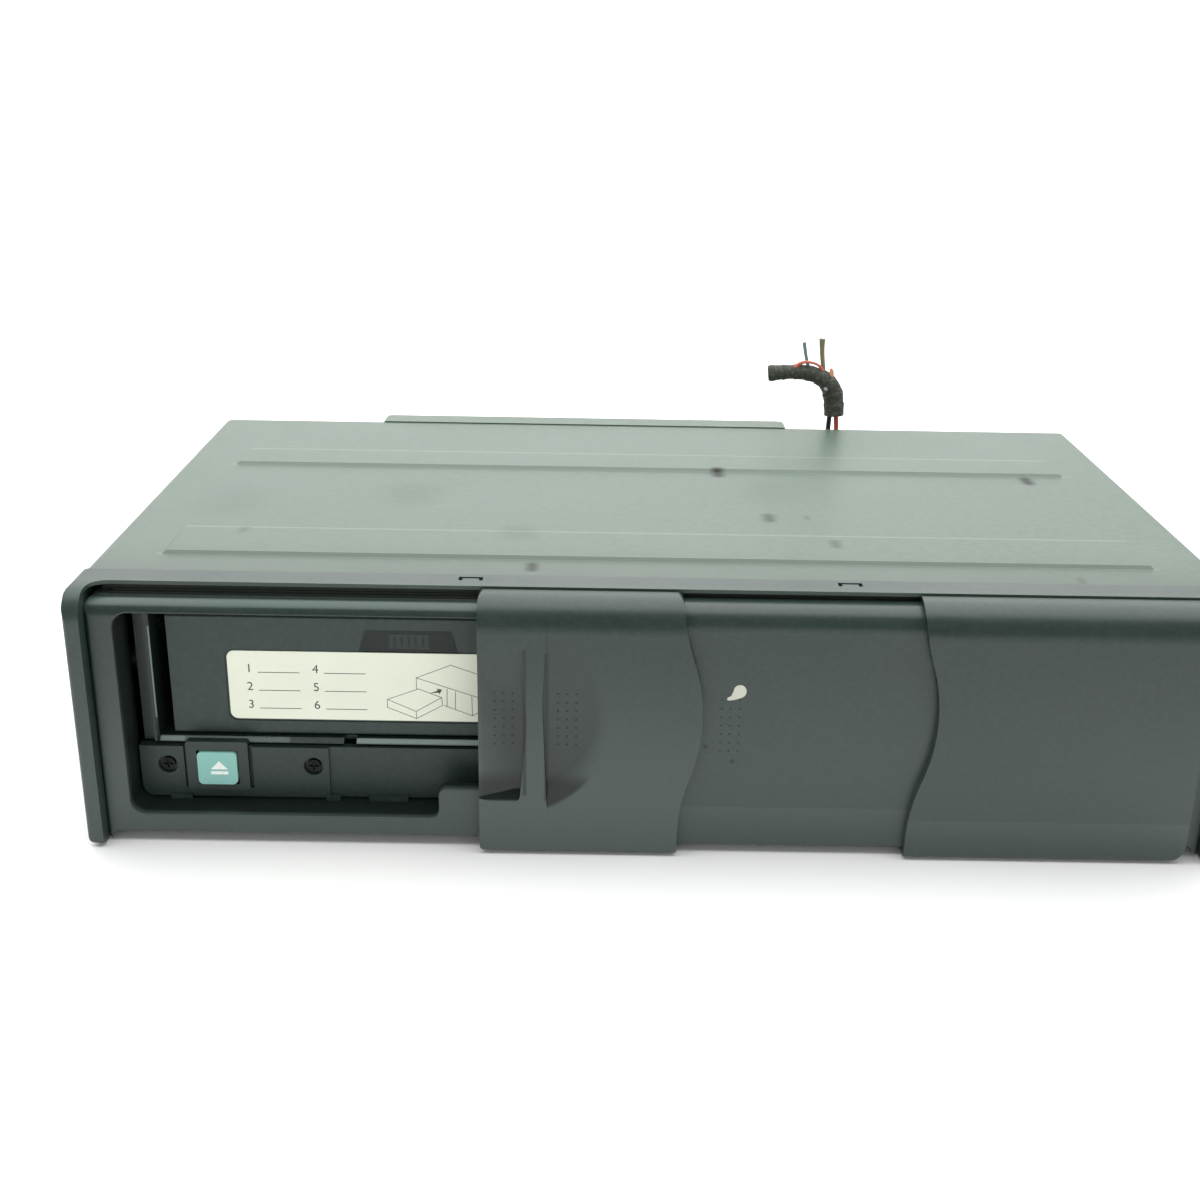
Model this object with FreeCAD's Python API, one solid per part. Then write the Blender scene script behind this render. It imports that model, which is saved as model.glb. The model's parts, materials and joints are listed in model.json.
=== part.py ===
import FreeCAD, Part
import math
import os

# Six-disc changer for a car, with a sliding front door, a pull-out magazine and a lifting player deck.
# Millimetres. X runs along the front, Y from the front to the back, Z up. Everything is drawn from the
# foremost plane (y = 0) and the resting plane (z = 0), centred on x = 0, and moved back by half the
# depth when it is written, so that the origin is the bottom centre of the housing's box.

V = FreeCAD.Vector

# ---------------------------------------------------------------- driving dimensions
# what the housing is built round
disc_radius = 60.0
disc_thickness = 1.2
disc_side_room = 3.3          # magazine beside the disc
disc_end_room = 7.0           # magazine in front of the disc and behind it
magazine_front = 17.6         # its face behind the front plane
side_air = 3.8                # between the magazine and each side of its slot
slot_margin = 5.7             # between the slot and the opening in the front frame
opening_margin = 4.4          # the same on the right
bay_gap = 2.2                 # between the slot and the player bay
bay_room = 9.25               # player bay beside the disc
bay_side = 6.65               # between the player bay and the outside
ejector_room = 9.4            # behind the magazine
rear_room = 11.5              # between the magazine slot and the rear plane

# housing
housing_top = 71.9            # top of the front surround above the resting plane
rear_bulge = 9.0              # how far the rear housing stands out
sheet = 1.2                   # sheet metal of the cover, bottom and rear
case_inset = 0.45             # the cover stands back from each cheek
bottom_front = 14.0           # front edge of the bottom sheet
part_gap = 0.2                # between fixed neighbours

# front surround
surround_front = 0.4
surround_back = 18.0
surround_foot = 0.8
cheek_width = 4.25
lip_setback = 9.7             # front edge of the top band behind the front plane
lip_thickness = 1.0
lip_corner = 6.0
nose_radius = 8.8             # shared by the cheeks and the outer panels
cheek_groove = 0.2            # groove between a cheek and the frame
cheek_corner = 3.0            # outer lower corner of a cheek
clip_offset = 48.5
clip_span = 6.2
clip_slit = 1.0
clip_leg = 1.4

# nested panels, from the outside in
panel_gap = 0.25              # air between two nested panels
outer_wall = 2.4
inner_wall = 1.4
frame_wall = 2.4
flange = 0.95                 # top and bottom flanges of the sliding panels
rib = 1.1                     # guide ribs on the flanges
rib_clearance = 0.3
inner_rib_setback = 9.9
outer_rib_setback = 12.2
guide_depth = 1.9
lower_guide_depth = 2.5
panel_foot = 0.8              # lowest edge of the outer panels
crown_drop = 0.5              # top of the outer panels below the top of the surround
facet_height = 9.5            # lowest stretch of a panel's face, which leans back
facet_lean = 0.25

# front frame
frame_back = 16.2
frame_margin = 6.6            # frame beside the opening
opening_low = 8.1
opening_top = 64.9
opening_corner = 4.0
opening_round = 0.4           # rounded edge of the opening's lower rim
sill_width = 63.2
sill_height = 16.8
sill_depth = 4.0
flare = 2.3                   # sloping foot of the frame beside each cheek

# door, shutter and fixed panel
door_width = 51.7
door_lap = 0.5                # the open frame edge beyond the door's right edge
door_open = 59.3              # travel to the right, until it nests in the fixed panel
door_corners = (1.8, 1.8, 1.3, 0.7)   # lower left, upper right, upper left, lower right
shutter_lead = 32.4           # left edge of the shutter before the door's right edge
shutter_width = 115.0
fixed_margin = 5.5            # frame seen beside the fixed panel
fixed_corner = 4.6
bulge = 5.5                   # how far the door's right edge swells
bulge_half = 33.0
bulge_height = 39.8
stop_gap = 0.6
scoop_depth = 1.65
left_scoop_width = 12.5
left_scoop_low = 15.9
left_scoop_high = 60.4
left_scoop_bow = 2.0          # how far its right wall swells
grip_bar = 4.4                # bar left standing between the two scoops
right_scoop_middle = 38.6
right_scoop_reach = 17.5
right_scoop_radius = 27.1     # outline of its round side
right_scoop_ball = 110.0
right_scoop_rise = 1.45       # its floor climbs this much from bottom to top

# magazine
magazine_low = 25.6
magazine_height = 34.0
magazine_wall = 1.6
magazine_face = 2.2
magazine_gap = 0.3
magazine_stroke = 10.0
tray_count = 6
tray_pitch = 5.3
tray_thickness = 2.4
tray_slot_gap = 0.4
tray_rib = 1.2
disc_pocket = 1.3
disc_clearance = 0.6
tray_overlap = 2.0            # part of the disc's width that a tray leaves in the magazine
tray_window = 24.0
label_width = 96.0
label_height = 19.6
label_low = 30.1
label_thickness = 0.3
label_margin = 0.6
push_top_width = 23.0
push_low_width = 26.4
push_height = 6.5
push_depth = 0.6

# slot around the magazine
slot_front = 15.3
slot_bevel = 1.1              # bevelled front edge of the slot
cradle_wall = 1.2
cradle_flange = 4.2
rail_setback = 20.0           # side rails behind the magazine's face
slot_notch = 45.4             # left edge of the notch from the magazine's left side
slot_notch_width = 3.4

# trim panel and eject button
trim_front = 13.8
trim_back = 16.8
trim_low = 8.6
trim_high = 23.4
trim_step_reach = 51.0        # the raised left part, from the opening's left edge
trim_step = 0.8
bezel_offset = 13.2           # from the opening's left edge
bezel_width = 16.5
bezel_low = 11.2
bezel_height = 14.1
bezel_rise = 1.0
button_width = 10.5
button_height = 9.5
button_low = 13.0
button_proud = 0.6
button_clearance = 0.25
button_travel = 1.5
screw_well_radius = 2.6
screw_well_depth = 1.5
trim_screw_height = 18.0
trim_screw_reaches = (7.9, 46.8)   # from the opening's left edge
trim_last_reach = 8.2         # last screw from the opening's right edge

# screws
screw_head_radius = 1.75
screw_head = 1.1
screw_shank_radius = 1.0
screw_length = 6.0
screw_sink = 0.8              # side screws let into the cover

# side fixings for the car's brackets
mount_pitch = 100.0
mount_setback = 27.5          # rear pair in front of the rear plane
mount_height = 36.0
mount_thread_radius = 1.65    # tapping hole of M4
mount_nut_radius = 4.0
mount_nut_length = 4.0
mount_access_radius = 5.0

# top cover
rib_margin = 16.7             # end of a raised bar inside the cover's side
rib_rise = 0.8
rib_rows = ((30.5, 53.2), (116.3, 134.2))
cover_bend = 2.5
cover_side_low = 1.6

# rear
housing_left = -93.0
housing_right = 50.0
housing_low = 12.0
housing_wall = 1.5
socket_x = 66.7
socket_low = 28.0
socket_width = 24.0
socket_height = 17.0
socket_depth = 6.0
plug_gap = 0.2
plug_out = 7.0

# cut loom
wire_radius = 0.85
wire_pitch = 3.0
bundle_radius = 2.9
loom_out = 4.0                # wires behind the rear plane

# player deck
chassis_margin = 2.4          # front edge of the chassis behind the magazine's face
chassis_clear = 3.5           # back edge of the chassis before the rear plane
chassis_low = 3.2
damper_radius = 5.0
deck_low = 12.4
deck_sheet = 1.5
deck_left_margin = 4.0        # deck inside the bay, all round
deck_right_margin = 14.5
deck_front_margin = 4.0
deck_back_margin = 5.0
deck_lift = 38.8              # travel that takes the turntable to the top tray
disc_plane = 17.2
spindle_radius = 1.5
running = 0.05                # radial clearance of shafts
turntable_radius = 14.0
hub_radius = 7.3
hub_rise = 2.0
motor_radius = 12.0
motor_height = 4.0
window_half = 24.0
sled_offset = 15.3            # parked sled beside the disc's axis
sled_length = 18.0
sled_half = 19.5
sled_low = 9.2
sled_high = 15.6
sled_lens = 9.0               # lens from the sled's inner end
sled_edge = 1.7               # lens inside the disc's edge at the end of its travel
sled_motor_length = 12.0
rod_radius = 1.5
rod_z = 11.0
rod_offset = 16.0
drive_offset = 21.0
drive_radius = 1.2
lift_margin = 6.0             # lift screws outside the deck or inside its edge
lift_end_margin = 4.0         # lift screws and motor inside the deck's front and back edges
lift_right_inset = 19.0       # right rear lift screw before the deck's back edge
lift_post = 12.0              # width of the bridges that carry them
lift_radius = 2.5
nut_radius = 4.5
nut_height = 5.6
pulley_radius = 6.0
pulley_low = 5.4
pulley_height = 2.5
belt = 1.0
belt_clearance = 0.1
lift_motor_offset = 43.3      # beside the disc's axis
lift_motor_radius = 9.0
lift_motor_height = 22.0
lift_motor_bore = 12.0        # depth of its shaft's bore above the pulley
arm_z = 21.5
arm_sheet = 1.2
arm_half = 9.0
arm_pivot_margin = 8.0        # pivot before the deck's back edge
arm_nose = 14.6               # arm in front of the disc's axis
pin_radius = 1.0
puck_radius = 13.0
roller_radius = 4.0
roller_margin = 5.0           # roller inside the deck's left edge
roller_setback = 10.0
roller_length = 30.0

# ---------------------------------------------------------------- worked out from them
magazine_width = 2 * (disc_radius + disc_side_room)
magazine_depth = 2 * (disc_radius + disc_end_room)
bay_width = 2 * (disc_radius + bay_room)
slot_width = magazine_width + 2 * side_air
left_front = cheek_width + cheek_groove + frame_margin + slot_margin
width = left_front + slot_width + bay_gap + bay_width + bay_side
half_width = width / 2
half_case = half_width - case_inset
slot_left = left_front - half_width
slot_right = slot_left + slot_width
opening_left = slot_left - slot_margin
opening_right = slot_right + opening_margin
sill_left = opening_right - sill_width
magazine_left = slot_left + side_air
magazine_right = magazine_left + magazine_width
magazine_mid = magazine_left + magazine_width / 2
magazine_back = magazine_front + magazine_depth
magazine_top = magazine_low + magazine_height
cradle_floor = magazine_low - magazine_gap
cradle_back = magazine_back + ejector_room
rear_plane = cradle_back + rear_room
depth = rear_plane + rear_bulge
cheek_inner = half_width - cheek_width
lip_low = housing_top - lip_thickness
cover_top = housing_top - 0.2
outer_top = lip_low - part_gap
outer_crown = housing_top - crown_drop
outer_front = 0.0
inner_front = outer_front + outer_wall + panel_gap
frame_front = inner_front + inner_wall + panel_gap
inner_nose = nose_radius - outer_wall - panel_gap
frame_nose = inner_nose - inner_wall - panel_gap
inner_top = outer_top - flange - panel_gap
frame_top = inner_top - flange - panel_gap
inner_low = panel_foot + flange + panel_gap
frame_low = inner_low + flange + panel_gap
frame_half = cheek_inner - cheek_groove
door_right = opening_right - door_lap
door_left = door_right - door_width
shutter_left = door_right - shutter_lead
fixed_left = door_right + door_open + stop_gap
fixed_right = cheek_inner - fixed_margin
guide_half = fixed_right + stop_gap
trim_step_x = opening_left + trim_step_reach
bezel_left = opening_left + bezel_offset
tray_travel = 2 * disc_radius - tray_overlap
disc_x = magazine_mid + tray_travel
disc_y = magazine_front + magazine_depth / 2
bay_left = slot_right + bay_gap
bay_right = bay_left + bay_width
chassis_front = magazine_front + chassis_margin
chassis_back = rear_plane - chassis_clear
deck_left = bay_left + deck_left_margin
deck_right = bay_right - deck_right_margin
deck_front = chassis_front + deck_front_margin
deck_back = chassis_back - deck_back_margin
lift_points = (
    (deck_right + lift_margin, deck_front + lift_end_margin),
    (deck_right + lift_margin, deck_back - lift_right_inset),
    (bay_left + lift_margin, deck_back - lift_end_margin),
)
lift_motor_point = (disc_x + lift_motor_offset, deck_back - lift_end_margin)
lift_top = deck_low + deck_lift + nut_height + 7.2
arm_pivot_y = deck_back - arm_pivot_margin
arm_front_y = disc_y - arm_nose
roller_x = deck_left + roller_margin
roller_front = deck_front + roller_setback
sled_start = disc_x + sled_offset
sled_travel = disc_radius - sled_edge - sled_offset - sled_lens
window_left = sled_start - 2
window_right = sled_start + sled_length + sled_travel + 2
origin_shift = V(0, -depth / 2, 0)


# ---------------------------------------------------------------- drawing helpers
def box(x0, x1, y0, y1, z0, z1):
    return Part.makeBox(x1 - x0, y1 - y0, z1 - z0, V(x0, y0, z0))


def cylinder(radius, start, end):
    axis = end - start
    return Part.makeCylinder(radius, axis.Length, start, axis)


def in_plane(plane, a, b, level):
    if plane == "xy":
        return V(a, b, level)
    if plane == "xz":
        return V(a, level, b)
    return V(level, a, b)


def prism(plane, corners, start, end):
    """Extrudes a closed loop of (a, b, corner radius) between two levels of the third axis."""
    points = [V(a, b, 0) for a, b, radius in corners]
    stretches = []
    for i, (a, b, radius) in enumerate(corners):
        here = points[i]
        if radius <= 0:
            stretches.append((here, None, here))
            continue
        to_last = (points[i - 1] - here).normalize()
        to_next = (points[(i + 1) % len(points)] - here).normalize()
        half_angle = to_last.getAngle(to_next) / 2
        run = radius / math.tan(half_angle)
        inward = (to_last + to_next).normalize()
        middle = here + inward * (radius / math.sin(half_angle) - radius)
        stretches.append((here + to_last * run, middle, here + to_next * run))
    edges = []
    for i, (first, middle, last) in enumerate(stretches):
        if middle is not None:
            ends = [in_plane(plane, p.x, p.y, start) for p in (first, middle, last)]
            edges.append(Part.Arc(*ends).toShape())
        following = stretches[(i + 1) % len(stretches)][0]
        if (following - last).Length > 1e-6:
            ends = [in_plane(plane, p.x, p.y, start) for p in (last, following)]
            edges.append(Part.LineSegment(*ends).toShape())
    face = Part.Face(Part.Wire(Part.__sortEdges__(edges)))
    return face.extrude(in_plane(plane, 0, 0, end - start))


def wave_edges(x, level):
    """The swelling edge shared by the door and the fixed panel, from below to above, as four arcs."""
    radius = (bulge_half ** 2 + bulge ** 2) / (4 * bulge)
    sweep = math.asin(bulge_half / (2 * radius))

    def on_arc(centre_x, centre_z, angle):
        return V(centre_x + radius * math.cos(angle), level, centre_z + radius * math.sin(angle))

    hollow_x = x + radius
    crest_x = x + bulge - radius
    low = bulge_height - bulge_half
    high = bulge_height + bulge_half
    arcs = (
        (hollow_x, low, math.pi, math.pi - sweep),
        (crest_x, bulge_height, -sweep, 0),
        (crest_x, bulge_height, 0, sweep),
        (hollow_x, high, math.pi + sweep, math.pi),
    )
    edges = []
    for centre_x, centre_z, begin, end in arcs:
        stations = (begin, (begin + end) / 2, end)
        edges.append(Part.Arc(*[on_arc(centre_x, centre_z, a) for a in stations]).toShape())
    return edges, V(x, level, low), V(x, level, high)


def wave_block(wave_x, far_x, low, high, start, end):
    """A block between a straight side at far_x and the swelling edge at wave_x, seen from the front."""
    edges, wave_low, wave_high = wave_edges(wave_x, start)
    corners = [wave_high, V(wave_x, start, high), V(far_x, start, high), V(far_x, start, low),
               V(wave_x, start, low), wave_low]
    for first, second in zip(corners, corners[1:]):
        edges.append(Part.LineSegment(first, second).toShape())
    face = Part.Face(Part.Wire(Part.__sortEdges__(edges)))
    return face.extrude(V(0, end - start, 0))


def union(shapes):
    whole = shapes[0]
    if len(shapes) > 1:
        whole = whole.multiFuse(shapes[1:])
    return whole.removeSplitter()


def without(body, cutters):
    return body.cut(Part.Compound(list(cutters)))


def pan_screw(seat, direction, length=screw_length):
    """A cross-recess screw whose head stands on the seat point, with its shank along direction."""
    direction = V(*direction)
    head = cylinder(screw_head_radius, seat - direction * screw_head, seat)
    shank = cylinder(screw_shank_radius, seat, seat + direction * length)
    recess = []
    for turn in (0, 90):
        bar = Part.makeBox(2.4, 0.55, 0.7, V(-1.2, -0.275, -0.05))
        bar.rotate(V(0, 0, 0), V(0, 0, 1), turn)
        bar.Placement = FreeCAD.Placement(V(0, 0, 0), FreeCAD.Rotation(V(0, 0, 1), direction)) * bar.Placement
        bar.translate(seat - direction * screw_head)
        recess.append(bar)
    return without(head.fuse(shank), recess)


def screw_hole(seat, direction, length=screw_length):
    direction = V(*direction)
    return cylinder(screw_shank_radius, seat, seat + direction * length)


def coil(radius, wire, turns, start_y, length, x, z):
    """A helical spring along Y between two planes."""
    pitch = (length - wire) / turns
    helix = Part.makeHelix(pitch, pitch * turns, radius)
    section = Part.Wire([Part.makeCircle(wire / 2, V(radius, 0, 0), V(0, 1, 0))])
    spring = Part.Wire(helix).makePipeShell([section], True, True)
    spring.rotate(V(0, 0, 0), V(1, 0, 0), -90)
    spring.translate(V(x, start_y + wire / 2, z))
    return spring


def routed_tube(points, radius):
    """A tube of straight runs joined by tangent arcs, each as large as its two runs allow."""
    edges = []
    radii = []
    begin = points[0]
    for before, corner, after in zip(points, points[1:], points[2:]):
        arrive = (corner - before).normalize()
        leave = (after - corner).normalize()
        turn = arrive.getAngle(leave)
        run = 0.45 * min((corner - before).Length, (after - corner).Length)
        bend = run / math.tan(turn / 2)
        radii.append(round(bend, 1))
        enter = corner - arrive * run
        exit_point = corner + leave * run
        inward = (leave - arrive).normalize()
        middle = corner + inward * (bend / math.cos(turn / 2) - bend)
        edges.append(Part.LineSegment(begin, enter).toShape())
        edges.append(Part.Arc(enter, middle, exit_point).toShape())
        begin = exit_point
    edges.append(Part.LineSegment(begin, points[-1]).toShape())
    spine = Part.Wire(edges)
    start_direction = points[1] - points[0]
    section = Part.Wire([Part.makeCircle(radius, points[0], start_direction)])
    tube = spine.makePipeShell([section], True, True)
    expected = math.pi * radius ** 2 * spine.Length
    print("tube length", round(spine.Length, 1), "bends", radii, "volume ratio", round(tube.Volume / expected, 4))
    return tube


# ---------------------------------------------------------------- front surround and frame
def make_front_surround():
    from_front = prism("xz", [(-half_width, surround_foot, cheek_corner), (half_width, surround_foot, cheek_corner),
                              (half_width, housing_top, 2.0), (-half_width, housing_top, 2.0)],
                       surround_front, surround_back)
    from_side = prism("yz", [(surround_front, surround_foot, 1.5), (surround_back, surround_foot, 0),
                             (surround_back, housing_top, 0), (surround_front, housing_top, nose_radius)],
                      -half_width, half_width)
    from_above = prism("xy", [(-half_width, surround_front, 1.2), (half_width, surround_front, 1.2),
                              (half_width, surround_back, 0), (-half_width, surround_back, 0)],
                       0, housing_top)
    arch = from_front.common(from_side).common(from_above)
    inside = prism("xz", [(-cheek_inner, -1, 0), (cheek_inner, -1, 0),
                          (cheek_inner, lip_low, 2.0), (-cheek_inner, lip_low, 2.0)],
                   -1, surround_back + 1)
    recess = prism("xy", [(-cheek_inner, -1, 0), (cheek_inner, -1, 0),
                          (cheek_inner, lip_setback, lip_corner), (-cheek_inner, lip_setback, lip_corner)],
                   lip_low - 5, housing_top + 1)
    slits = []
    for centre in (-clip_offset, clip_offset):
        slit_front = 15.2
        left = centre - clip_span / 2
        right = centre + clip_span / 2
        slits.append(box(left, right, slit_front, slit_front + clip_slit, lip_low - 1, housing_top + 1))
        for side in (left, right - clip_slit):
            slits.append(box(side, side + clip_slit, slit_front - clip_leg, slit_front + 0.1,
                             lip_low - 1, housing_top + 1))
    return without(arch, [inside, recess] + slits)


def guide_cutters():
    """Running grooves for the ribs of the outer and inner panels, above and below the frame."""
    cutters = []
    for setback in (inner_rib_setback, outer_rib_setback):
        front = setback - rib_clearance
        back = setback + rib + rib_clearance
        cutters.append(box(-guide_half, guide_half, front, back, frame_top - guide_depth, frame_top + 0.1))
        cutters.append(box(-guide_half, guide_half, front, back, frame_low - 0.1, frame_low + lower_guide_depth))
    return cutters


def on_lower_rim(edge):
    """Whether an edge bounds the lower part of the opening on the frame's front face."""
    bounds = edge.BoundBox
    flat = bounds.YMax - bounds.YMin < 0.01 and abs(bounds.YMin - frame_front) < 0.01
    inside = opening_left - 0.1 < bounds.XMin and bounds.XMax < opening_right + 0.1
    low = opening_low - 0.1 < bounds.ZMin and bounds.ZMax < sill_height + opening_corner
    return flat and inside and low


def make_front_frame():
    foot = surround_foot + 0.2
    flare_start = frame_half - flare
    outline = prism("xz", [(-frame_half, foot, 0.4), (-frame_half + 0.9, foot, 0.4), (-flare_start, frame_low, 2.2),
                           (flare_start, frame_low, 2.2), (frame_half - 0.9, foot, 0.4), (frame_half, foot, 0.4),
                           (frame_half, frame_top, 1.5), (-frame_half, frame_top, 1.5)],
                    frame_front, frame_back)
    from_above = prism("xy", [(-frame_half, frame_front, 1.0), (frame_half, frame_front, 1.0),
                              (frame_half, frame_back, 0), (-frame_half, frame_back, 0)], 0, housing_top)
    nose = prism("yz", [(frame_front, foot - 1, 0), (frame_back, foot - 1, 0),
                        (frame_back, frame_top, 0), (frame_front, frame_top, frame_nose)],
                 -half_width, half_width)
    flare_back = box(-half_width, half_width, bottom_front - 1, frame_back + 1, foot - 1, frame_low)
    mouth = prism("xz", [(opening_left, opening_low, opening_corner), (sill_left, opening_low, 2.5),
                         (sill_left, sill_height, 2.0), (opening_right, sill_height, 3.0),
                         (opening_right, opening_top, opening_corner), (opening_left, opening_top, opening_corner)],
                  frame_front - 1, frame_front + sill_depth)
    tunnel = prism("xz", [(opening_left, opening_low, opening_corner), (opening_right, opening_low, opening_corner),
                          (opening_right, opening_top, opening_corner), (opening_left, opening_top, opening_corner)],
                   frame_front + sill_depth, frame_back + 1)
    hollow = box(opening_right + frame_wall, fixed_right, frame_front + frame_wall, frame_back + 1,
                 opening_low + 0.6, opening_top - 0.6)
    frame = without(outline.common(nose).common(from_above), [flare_back, mouth, tunnel, hollow] + guide_cutters())
    rim = [edge for edge in frame.Edges if on_lower_rim(edge)]
    frame = frame.makeFillet(opening_round, rim)
    upstand_front = outer_rib_setback + rib + rib_clearance + 0.7
    additions = [box(-frame_half + 2, frame_half - 2, upstand_front, frame_back, frame_top - 0.5, lip_low)]
    for side in (-1, 1):
        edges = sorted((side * (frame_half - 1), side * cheek_inner))
        additions.append(box(edges[0], edges[1], 8, frame_back, 6, opening_top - 1))
    return union([frame] + additions)


# ---------------------------------------------------------------- sliding and fixed panels
def panel_section(front, wall, low, high, crown, nose, rib_setback, x0, x1):
    """A C-shaped panel along X whose flanges end in ribs that run in the frame's grooves."""
    back = rib_setback + rib
    top_tip = frame_top - guide_depth + rib_clearance
    low_tip = frame_low + lower_guide_depth - rib_clearance
    inside_high = high - flange
    inside_low = low + flange
    outline = [(back, low, 0.3), (front + facet_lean, low, 1.3), (front, low + facet_height, 0), (front, crown, nose)]
    if crown > high:
        step = lip_setback - part_gap - 0.1
        outline += [(step, crown, 0.2), (step, high, 0)]
    outline += [(back, high, 0.3), (back, top_tip, 0.2), (rib_setback, top_tip, 0.2), (rib_setback, inside_high, 0),
                (front + wall, inside_high, nose - wall), (front + wall, inside_low, 0.4),
                (rib_setback, inside_low, 0), (rib_setback, low_tip, 0.2), (back, low_tip, 0.2)]
    return prism("yz", outline, x0, x1)


def outer_section(x0, x1):
    return panel_section(outer_front, outer_wall, panel_foot, outer_top, outer_crown, nose_radius,
                         outer_rib_setback, x0, x1)


def corner_waste(x, z, radius, side, up):
    """What is cut away to round a panel's corner at (x, z), seen from the front."""
    margin = 1.0
    xs = sorted((x + side * margin, x - side * radius))
    zs = sorted((z + up * margin, z - up * radius))
    centre = V(x - side * radius, 0, z - up * radius)
    drum = cylinder(radius, centre - V(0, 2, 0), centre + V(0, frame_back, 0))
    return box(xs[0], xs[1], -1, frame_back - 1, zs[0], zs[1]).cut(drum)


def left_scoop():
    """Finger recess open to the door's left edge, its floor rising to the left and at its lower end."""
    wall = door_left + left_scoop_width
    bow = left_scoop_bow
    middle = (left_scoop_low + left_scoop_high) / 2
    side = prism("xz", [(door_left - 5, left_scoop_low + 1.8, 0), (door_left + 3, left_scoop_low, 6.0),
                        (wall - bow, left_scoop_low, 1.5), (wall, middle, 50.0),
                        (wall - bow, left_scoop_high, 2.0), (door_left - 5, left_scoop_high, 0)], -1, scoop_depth)
    rising = prism("xy", [(door_left - 5, -1, 0), (wall + 1, -1, 0), (wall + 1, scoop_depth, 0),
                          (wall - 3, scoop_depth, 3.0), (door_left, scoop_depth * 0.35, 0),
                          (door_left - 5, scoop_depth * 0.35, 0)], left_scoop_low - 1, left_scoop_high + 1)
    ramps = prism("yz", [(-1, left_scoop_low - 1, 0), (0, left_scoop_low, 0), (scoop_depth, left_scoop_low + 3, 2.0),
                         (scoop_depth, middle, 0), (0, left_scoop_high, 0), (-1, left_scoop_high + 1, 0)],
                  door_left - 6, wall + 2)
    return side.common(rising).common(ramps)


def right_scoop():
    """Finger recess beside the grip bar: a sharp left wall and a round, gently sloping right side."""
    wall = door_left + left_scoop_width + grip_bar
    far = wall + right_scoop_reach
    low = right_scoop_middle - right_scoop_radius
    high = right_scoop_middle + right_scoop_radius
    sink = math.sqrt(right_scoop_ball ** 2 - right_scoop_radius ** 2)
    ball = Part.makeSphere(right_scoop_ball, V(far - right_scoop_radius, outer_front - sink, right_scoop_middle))
    window = prism("xz", [(wall + 0.8, low, 0), (far + 1, low, 0), (far + 1, high, 0), (wall + 0.8, high, 0),
                          (wall - 0.6, right_scoop_middle + 6, 30.0)], -1, scoop_depth + 1)
    floor = prism("yz", [(-1, low, 0), (scoop_depth, low, 0), (scoop_depth, low + 8, 0),
                         (scoop_depth - right_scoop_rise, high, 0), (-1, high, 0)], wall - 2, far + 1)
    return ball.common(window).common(floor)


def make_door_panel():
    raw = outer_section(door_left, door_right + bulge + 1)
    margin = 2.0
    outline = wave_block(door_right, door_left, panel_foot - margin, outer_crown + margin, -1, frame_back)
    door = raw.common(outline)
    low_left, high_right, high_left, low_right = door_corners
    corners = [corner_waste(door_left, panel_foot, low_left, -1, -1),
               corner_waste(door_left, outer_crown, high_left, -1, 1),
               corner_waste(door_right, panel_foot, low_right, 1, -1),
               corner_waste(door_right, outer_crown, high_right, 1, 1)]
    return without(door, corners + [left_scoop(), right_scoop()])


def make_shutter():
    return panel_section(inner_front, inner_wall, inner_low, inner_top, inner_top, inner_nose, inner_rib_setback,
                         shutter_left, shutter_left + shutter_width)


def make_fixed_panel():
    raw = outer_section(fixed_left - 1, fixed_right)
    margin = 2.0
    clear_wave = wave_block(fixed_left, fixed_left - 5, panel_foot - margin, outer_crown + margin, -1, frame_back)
    corner = prism("xz", [(fixed_left - 5, panel_foot, 0), (fixed_right, panel_foot, fixed_corner),
                          (fixed_right, outer_crown, 1.0), (fixed_left - 5, outer_crown, 0)], -1, frame_back)
    foot = box(fixed_right - 2.4, fixed_right - 0.2, outer_front + outer_wall - 0.5, frame_front,
               opening_low, opening_top - 4)
    return union([raw.common(corner).cut(clear_wave), foot])


# ---------------------------------------------------------------- trim, button and board
def button_box():
    left = bezel_left + (bezel_width - button_width) / 2
    return left, left + button_width, button_low, button_low + button_height


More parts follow.
